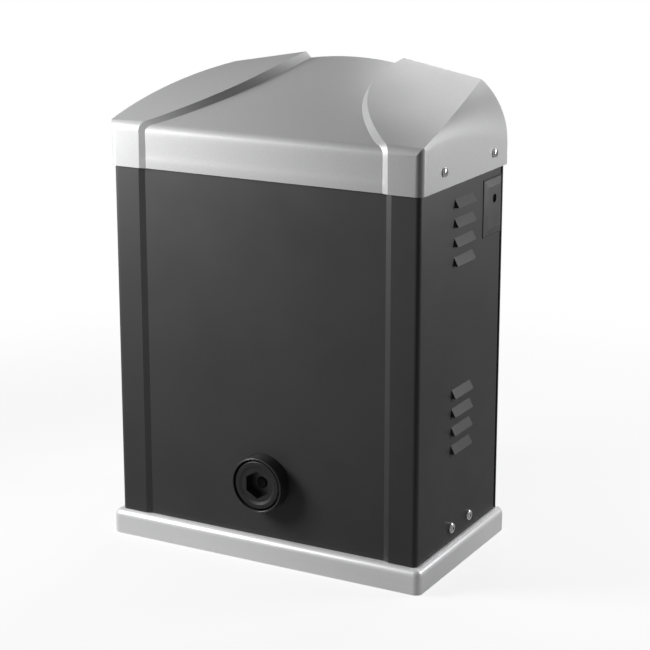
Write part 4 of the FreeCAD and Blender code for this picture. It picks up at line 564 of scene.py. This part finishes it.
def extent(piece: bpy.types.Object) -> tuple[Vector, Vector]:
    """Find the box round a piece.

    Args:
        piece: The piece or CAD node.

    Returns:
        Its lowest and highest corner.
    """
    corners = [piece.matrix_world @ Vector(corner) for corner in piece.bound_box]
    low, high = (Vector(pick(corner[axis] for corner in corners) for axis in range(3))
                 for pick in (min, max))
    return low, high


def block(name: str, size: Sequence[float], centre: Vector) -> bpy.types.Object:
    """Add a block.

    Args:
        name: Name of the piece.
        size: Its sizes along X, Y and Z in metres.
        centre: Its centre.

    Returns:
        The piece, with its origin at the part's.
    """
    deselect_all()
    bpy.ops.mesh.primitive_cube_add(size=1, scale=size, location=centre)
    piece = active_piece(name)
    apply_place(piece)
    return piece


def cylinder(name: str, radius: float, height: float, centre: Vector, sides: int = ROUND_SIDES,
             tilt: float = 0.0) -> bpy.types.Object:
    """Add a cylinder.

    Args:
        name: Name of the piece.
        radius: Its radius in metres.
        height: Its height in metres.
        centre: Its centre.
        sides: Number of side faces.
        tilt: Turn of its upright axis about Y, in radians.

    Returns:
        The piece, with its origin at the part's.
    """
    deselect_all()
    bpy.ops.mesh.primitive_cylinder_add(vertices=sides, radius=radius, depth=height, location=centre,
                                        rotation=(0, tilt, 0))
    piece = active_piece(name)
    apply_place(piece)
    return piece


def cut(piece: bpy.types.Object, cutter: bpy.types.Object) -> None:
    """Take a cutter's volume off a piece and remove the cutter."""
    add_modifier(piece, "BOOLEAN", operation="DIFFERENCE", solver="EXACT", object=cutter)
    bpy.data.objects.remove(cutter)


def smooth(piece: bpy.types.Object, degrees: float) -> None:
    """Shade a piece smooth across edges that turn by less than an angle."""
    activate(piece)
    bpy.ops.object.shade_smooth_by_angle(angle=math.radians(degrees))


def soften(piece: bpy.types.Object, width: float) -> None:
    """Round the sharp edges of a piece and shade it smooth between them."""
    add_modifier(piece, "BEVEL", width=width, segments=EDGE_SEGMENTS, limit_method="ANGLE",
                 angle_limit=math.radians(SHARP_ABOVE))
    smooth(piece, SMOOTH_BELOW)


def coil_spring(name: str, foot: Vector, height: float, radius: float, wire: float,
                turns: int) -> bpy.types.Object:
    """Add a spring that stands upright, with closed ends.

    Args:
        name: Name of the piece.
        foot: Centre of its first turn.
        height: Rise from the first turn to the last.
        radius: Radius of the turns at the wire's centre.
        wire: Radius of the wire.
        turns: Number of turns.

    Returns:
        The piece, with its origin at the part's.
    """
    deselect_all()
    bpy.ops.mesh.primitive_circle_add(vertices=WIRE_SIDES, radius=wire, rotation=(math.pi / 2, 0, 0),
                                      location=(radius, 0, 0))
    piece = active_piece(name)
    apply_place(piece)
    add_modifier(piece, "SCREW", axis="Z", angle=math.tau, screw_offset=height / turns,
                 iterations=turns, steps=STEPS_PER_TURN, render_steps=STEPS_PER_TURN,
                 use_smooth_shade=True)
    bpy.ops.object.mode_set(mode="EDIT")
    bpy.ops.mesh.select_all(action="SELECT")
    bpy.ops.mesh.fill_holes(sides=0)
    bpy.ops.mesh.select_all(action="SELECT")
    bpy.ops.mesh.normals_make_consistent(inside=False)
    bpy.ops.object.mode_set(mode="OBJECT")
    piece.location = foot
    apply_place(piece)
    return piece


def dress(piece: bpy.types.Object, paint: Paint) -> None:
    """Give a new piece or a CAD node its only finish."""
    if not piece.material_slots:
        piece.data.materials.append(paint.material)
    for slot in piece.material_slots:
        slot.material = paint.material


# --------------------------------------------------------------------------------------------------
# Sub-assemblies
# --------------------------------------------------------------------------------------------------
@dataclass
class Assembly:
    """A group of CAD nodes with their finishes, and the pieces that are modelled for it."""

    nodes: Mapping[str, bpy.types.Object]
    finishes: Mapping[str, Paint] = field(default_factory=dict)

    def dress_nodes(self) -> None:
        """Give each node of the group its finish."""
        for name, paint in self.finishes.items():
            dress(self.nodes[name], paint)
            LOG.info("%s: %s", name, paint.value.name)

    def build(self) -> None:
        """Dress the nodes and model the extra pieces."""
        self.dress_nodes()


@dataclass
class Cabinet(Assembly):
    """Plinth, cover, cap and lock."""

    finishes: Mapping[str, Paint] = field(default_factory=lambda: {
        "base_plinth": Paint.PLINTH, "cable_grommet": Paint.RUBBER, "front_cover": Paint.CABINET,
        "rear_panel": Paint.REAR_PANEL, "top_cap": Paint.CAP, "cover_brackets": Paint.ZINC_SHEET,
        "rear_panel_screws": Paint.CHROME, "side_screws": Paint.CHROME, "rivet_nuts": Paint.ZINC,
        "lock_escutcheon": Paint.ESCUTCHEON, "lock_barrel": Paint.LOCK, "lock_nut": Paint.ZINC,
        "lock_plug": Paint.LOCK, "lock_cam": Paint.ZINC, "lock_striker": Paint.ZINC_SHEET})
    body: str = "housing"
    # Size of the black sheet whose rim stands in for the escutcheon's shadow gap (painted shade).
    gasket_gauge: float = 0.0006
    gasket_lip: float = 0.0009
    keyway: float = 0.0045
    keyway_cut: float = 0.006
    cap_corner: float = 0.007
    cap_smoothing: float = 12.0
    cut_past: float = 0.004

    def build(self) -> None:
        """Dress the cabinet, round the cap's front corners and add a thin black sheet under the lock
        that shows as a dark line round the escutcheon (painted shade).
        """
        self.dress_nodes()
        self.round_cap()
        self.add_gasket()

    def round_cap(self) -> None:
        """Replace the cap by a copy whose two upright front corners are rounded."""
        node = self.nodes["top_cap"]
        low, high = extent(node)
        cap = self.merged_copy(node, "moulded_cap")
        height = high.z - low.z + 2 * self.cut_past
        for side, edge in ((-1, low.x), (1, high.x)):
            inward = Vector((-side, 1, 0)) * self.cap_corner
            axis = Vector((edge, low.y, (low.z + high.z) / 2)) + inward
            cut(cap, self.corner_cutter(side, axis, height))
        smooth(cap, self.cap_smoothing)
        dress(cap, Paint.CAP)
        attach(cap, self.body)
        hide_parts("top_cap")

    @staticmethod
    def merged_copy(node: bpy.types.Object, name: str) -> bpy.types.Object:
        """Copy a CAD node and join its loose triangles.

        Args:
            node: The CAD node.
            name: Name of the copy.

        Returns:
            The copy, as one connected mesh.
        """
        copy = node.copy()
        copy.data = node.data.copy()
        copy.name = copy.data.name = name
        bpy.context.scene.collection.objects.link(copy)
        activate(copy)
        bpy.ops.mesh.customdata_custom_splitnormals_clear()
        bpy.ops.object.mode_set(mode="EDIT")
        bpy.ops.mesh.select_all(action="SELECT")
        bpy.ops.mesh.remove_doubles(threshold=MERGE_DISTANCE)
        bpy.ops.object.mode_set(mode="OBJECT")
        return copy

    def corner_cutter(self, side: int, axis: Vector, height: float) -> bpy.types.Object:
        """Model what is taken off a square upright corner to round it.

        Args:
            side: -1 for the left corner, 1 for the right one.
            axis: Centre of the corner's radius.
            height: Height of the cutter.

        Returns:
            The cutter.
        """
        reach = self.cap_corner + self.cut_past
        middle = axis + Vector((side, -1, 0)) * (reach / 2)
        cutter = block("corner_cutter", (reach, reach, height), middle)
        cut(cutter, cylinder("corner_core", self.cap_corner, 2 * height, axis, CORNER_SIDES))
        return cutter

    def add_gasket(self) -> None:
        """Add a thin black rubber sheet under the lock's escutcheon, whose rim shows as a dark line
        round it: painted shade standing in for the shadow gap.
        """
        low, high = extent(self.nodes["lock_escutcheon"])
        plug = sum(extent(self.nodes["lock_plug"]), Vector()) / 2
        centre = (low + high) / 2
        size = (self.gasket_gauge, high.y - low.y + 2 * self.gasket_lip,
                high.z - low.z + 2 * self.gasket_lip)
        # Painted shade: a black sheet whose rim stands in for the dark shadow gap round the escutcheon.
        shadow_sheet = block("lock_shadow_gap_sheet", size, Vector((low.x + self.gasket_gauge / 2, centre.y, centre.z)))
        cut(shadow_sheet, cylinder("keyway_cutter", self.keyway, self.keyway_cut,
                             Vector((low.x, plug.y, plug.z)), tilt=math.pi / 2))
        dress(shadow_sheet, Paint.RUBBER)
        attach(shadow_sheet, self.body)


@dataclass
class Gearbox(Assembly):
    """Gearcase, output line, clutch and release."""

    finishes: Mapping[str, Paint] = field(default_factory=lambda: {
        "gearcase": Paint.CAST, "gearcase_cover": Paint.CAST, "gearcase_gasket": Paint.PAPER,
        "gearcase_screws": Paint.ZINC, "gearcase_bolts": Paint.ZINC, "output_shaft": Paint.STEEL,
        "bearing_outer_rings": Paint.BEARING, "output_bearing_inners": Paint.BEARING,
        "rotor_bearing_inners": Paint.BEARING, "shaft_seals": Paint.RUBBER, "drive_pinion": Paint.GEAR,
        "pinion_key": Paint.STEEL, "pinion_retaining_screw": Paint.ZINC, "worm_wheel": Paint.BRONZE,
        "wheel_spacer": Paint.STEEL, "clutch_cone": Paint.STEEL, "clutch_rod": Paint.OXIDE,
        "clutch_cross_pin": Paint.STEEL, "release_collar": Paint.COLLAR, "release_hub": Paint.HUB,
        "hub_dog_screws": Paint.ZINC})


@dataclass
class Motor(Assembly):
    """Worm shaft, rotor, stator and shell."""

    finishes: Mapping[str, Paint] = field(default_factory=lambda: {
        "worm_shaft": Paint.WORM, "rotor_core": Paint.LAMINATED, "motor_shell": Paint.SHELL,
        "stator_core": Paint.LAMINATED, "stator_windings": Paint.COPPER, "motor_end_shield": Paint.CAST,
        "motor_tie_bolts": Paint.ZINC})


@dataclass
class Controls(Assembly):
    """Bracket, board and what stands on it."""

    finishes: Mapping[str, Paint] = field(default_factory=lambda: {
        "control_bracket": Paint.ZINC_SHEET, "bracket_screws": Paint.ZINC, "board_standoffs": Paint.ZINC,
        "control_board": Paint.BOARD, "terminal_blocks": Paint.TERMINAL, "relays": Paint.RELAY,
        "supply_transformer": Paint.RESIN, "reservoir_capacitors": Paint.SLEEVE,
        "run_capacitor": Paint.CAN, "capacitor_clamp": Paint.ZINC_SHEET})


@dataclass
class LimitSwitch(Assembly):
    """Switch behind the rear panel, with the spring wand that the rack's cams push over."""

    finishes: Mapping[str, Paint] = field(default_factory=lambda: {
        "limit_switch_housing": Paint.SWITCH, "limit_switch_lid": Paint.SWITCH,
        "microswitches": Paint.MICROSWITCH, "limit_cam_shaft": Paint.NYLON, "limit_lever": Paint.SWITCH,
        "limit_wand": Paint.ZINC})
    body: str = "limit_lever"
    spring_share: float = 0.44
    spring_width: float = 0.88
    wire: float = 0.0007
    wire_pitch: float = 2.1
    rod_radius: float = 0.002
    rod_edge: float = 0.0003
    tip_length: float = 0.012
    tip_edge: float = 0.0016

    def build(self) -> None:
        """Dress the switch and model its wand as a spring, a rod and a moulded tip."""
        self.dress_nodes()
        low, high = extent(self.nodes["limit_wand"])
        foot = Vector(((low.x + high.x) / 2, (low.y + high.y) / 2, low.z))
        up = Vector((0, 0, 1))
        height, radius = high.z - low.z, (high.x - low.x) / 2
        coiled = height * self.spring_share
        spring = coil_spring("wand_spring", foot + up * self.wire, coiled,
                             radius * self.spring_width - self.wire, self.wire,
                             round(coiled / (self.wire * self.wire_pitch)))
        length = height - self.tip_length / 2
        stem = cylinder("wand_rod", self.rod_radius, length, foot + up * (length / 2))
        tip = cylinder("wand_tip", radius, self.tip_length, foot + up * (height - self.tip_length / 2))
        soften(stem, self.rod_edge)
        soften(tip, self.tip_edge)
        for piece, paint in ((spring, Paint.SPRING), (stem, Paint.ZINC), (tip, Paint.RUBBER)):
            dress(piece, paint)
            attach(piece, self.body)
        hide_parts("limit_wand")


# --------------------------------------------------------------------------------------------------
# Studio
# --------------------------------------------------------------------------------------------------
@dataclass
class Softbox:
    """A large rectangular lamp."""

    name: str
    location: Point
    aim: Point
    size: tuple[float, float]
    power: float
    spread: float = 180.0

    def hang(self) -> None:
        """Hang the lamp at its place and aim it."""
        data = bpy.data.lights.new(self.name, "AREA")
        data.shape = "RECTANGLE"
        data.size, data.size_y = self.size
        data.energy = self.power
        data.spread = math.radians(self.spread)
        lamp = bpy.data.objects.new(self.name, data)
        bpy.context.scene.collection.objects.link(lamp)
        lamp.location = self.location
        lamp.rotation_mode = "QUATERNION"
        lamp.rotation_quaternion = (Vector(self.location) - Vector(self.aim)).to_track_quat("Z", "Y")
        lamp.visible_camera = False


@dataclass
class Studio:
    """White room with a pale floor, soft lamps and the camera."""

    azimuth: float = 28.705
    elevation: float = 14.243
    distance: float = 1.7
    aim: Point = (0.016576, 0.0, 0.23587)
    lens: float = 105.0
    shift: float = -0.06
    floor_half: float = 4.0
    floor_gap: float = 0.0002
    floor_near: float = 0.25
    floor_far: float = 0.9
    floor_white: float = 0.8
    bounce: Colour = (0.4, 0.4, 0.4)
    seen: Colour = (0.95, 0.95, 0.95)
    ambient: float = 0.07
    mirrored: float = 0.22
    lamps: Sequence[Softbox] = (
        Softbox("key_softbox", (-0.52, -0.4, 0.48), (-0.02, -0.1, 0.36), (0.3, 0.3), 3.75, 125),
        Softbox("side_softbox", (0.66, 0.42, 0.42), (0.15, 0.0, 0.36), (0.3, 0.3), 2.3, 140),
        Softbox("top_softbox", (0.0, 0.7, 0.95), (0.0, 0.0, 0.4), (0.6, 0.6), 4.6),
    )

    def build(self) -> None:
        """Set up world, floor, lamps and camera."""
        self.set_world()
        self.lay_floor()
        for lamp in self.lamps:
            lamp.hang()
        self.add_camera()

    def set_world(self) -> None:
        """Faint light from all round, stronger in reflections and white to the camera."""
        world = bpy.data.worlds.new("studio")
        world.use_nodes = True
        bpy.context.scene.world = world
        nodes, links = world.node_tree.nodes, world.node_tree.links
        background = next(node for node in nodes if node.type == "BACKGROUND")
        path = nodes.new("ShaderNodeLightPath")
        strength: bpy.types.NodeSocket | float = self.ambient
        for ray, level in (("Is Glossy Ray", self.mirrored), ("Is Transmission Ray", 1.0),
                           ("Is Camera Ray", 1.0)):
            mix = nodes.new("ShaderNodeMix")
            links.new(path.outputs[ray], mix.inputs["Factor"])
            if isinstance(strength, float):
                mix.inputs["A"].default_value = strength
            else:
                links.new(strength, mix.inputs["A"])
            mix.inputs["B"].default_value = level
            strength = mix.outputs["Result"]
        links.new(strength, background.inputs["Strength"])
        background.inputs["Color"].default_value = (1.0, 1.0, 1.0, 1.0)

    def lay_floor(self) -> None:
        """Pale floor that keeps the object's shadow and fades into the white background."""
        deselect_all()
        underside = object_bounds()[0].z
        bpy.ops.mesh.primitive_plane_add(size=2 * self.floor_half,
                                         location=(0, 0, underside - self.floor_gap))
        floor = active_piece("studio_floor")
        apply_place(floor)
        tree = Tree("floor_white")
        x, y, _ = tree.axes()
        far = tree.math("SQRT", x * x + y * y).between(self.floor_near, self.floor_far)
        camera, glossy = (tree.node("LightPath", {}, {}, ray)
                          for ray in ("Is Camera Ray", "Is Glossy Ray"))
        white = camera * (far * (1 - self.floor_white) + self.floor_white) + glossy * far
        level = camera * (1 - self.mirrored) + self.mirrored
        glow = tree.node("Emission", {}, {"Color": (1.0, 1.0, 1.0), "Strength": level})
        tree.feed(tree.shader.inputs["Base Color"], tree.mix(camera, self.bounce, self.seen))
        tree.feed(tree.shader.inputs["Roughness"], 0.9)
        plain = Signal(tree, tree.shader.outputs[0])
        mixed = tree.node("MixShader", {}, {0: white, 1: plain, 2: glow})
        output = next(node for node in tree.nodes if node.type == "OUTPUT_MATERIAL")
        tree.links.new(mixed.socket, output.inputs["Surface"])
        floor.data.materials.append(tree.material)
        floor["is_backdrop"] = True

    def add_camera(self) -> None:
        """Camera that faces the right-hand front corner from slightly above."""
        data = bpy.data.cameras.new("camera")
        data.sensor_width = 36.0
        data.lens = self.lens
        data.shift_y = self.shift
        camera = bpy.data.objects.new("camera", data)
        bpy.context.scene.collection.objects.link(camera)
        turn, tilt = math.radians(self.azimuth), math.radians(self.elevation)
        level = math.cos(tilt)
        back = Vector((math.sin(turn) * level, -math.cos(turn) * level, math.sin(tilt)))
        camera.location = Vector(self.aim) + back * self.distance
        camera.rotation_mode = "QUATERNION"
        camera.rotation_quaternion = back.to_track_quat("Z", "Y")
        bpy.context.scene.camera = camera


def corners(box: tuple[Vector, Vector]) -> list[list[float]]:
    """Both corners of a box as plain lists."""
    return [list(corner) for corner in box]


def main() -> None:
    """Build every sub-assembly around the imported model, then the studio."""
    logging.basicConfig(level=logging.INFO, format="%(name)s: %(message)s")
    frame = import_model()
    cad_box = corners(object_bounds())
    bpy.context.scene.view_settings.view_transform = "Standard"
    for assembly in (Cabinet, Gearbox, Motor, Controls, LimitSwitch):
        assembly(frame["nodes"]).build()
    Studio().build()
    {"cad": cad_box, "visual": corners(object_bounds())}


if __name__ == "__main__":
    main()
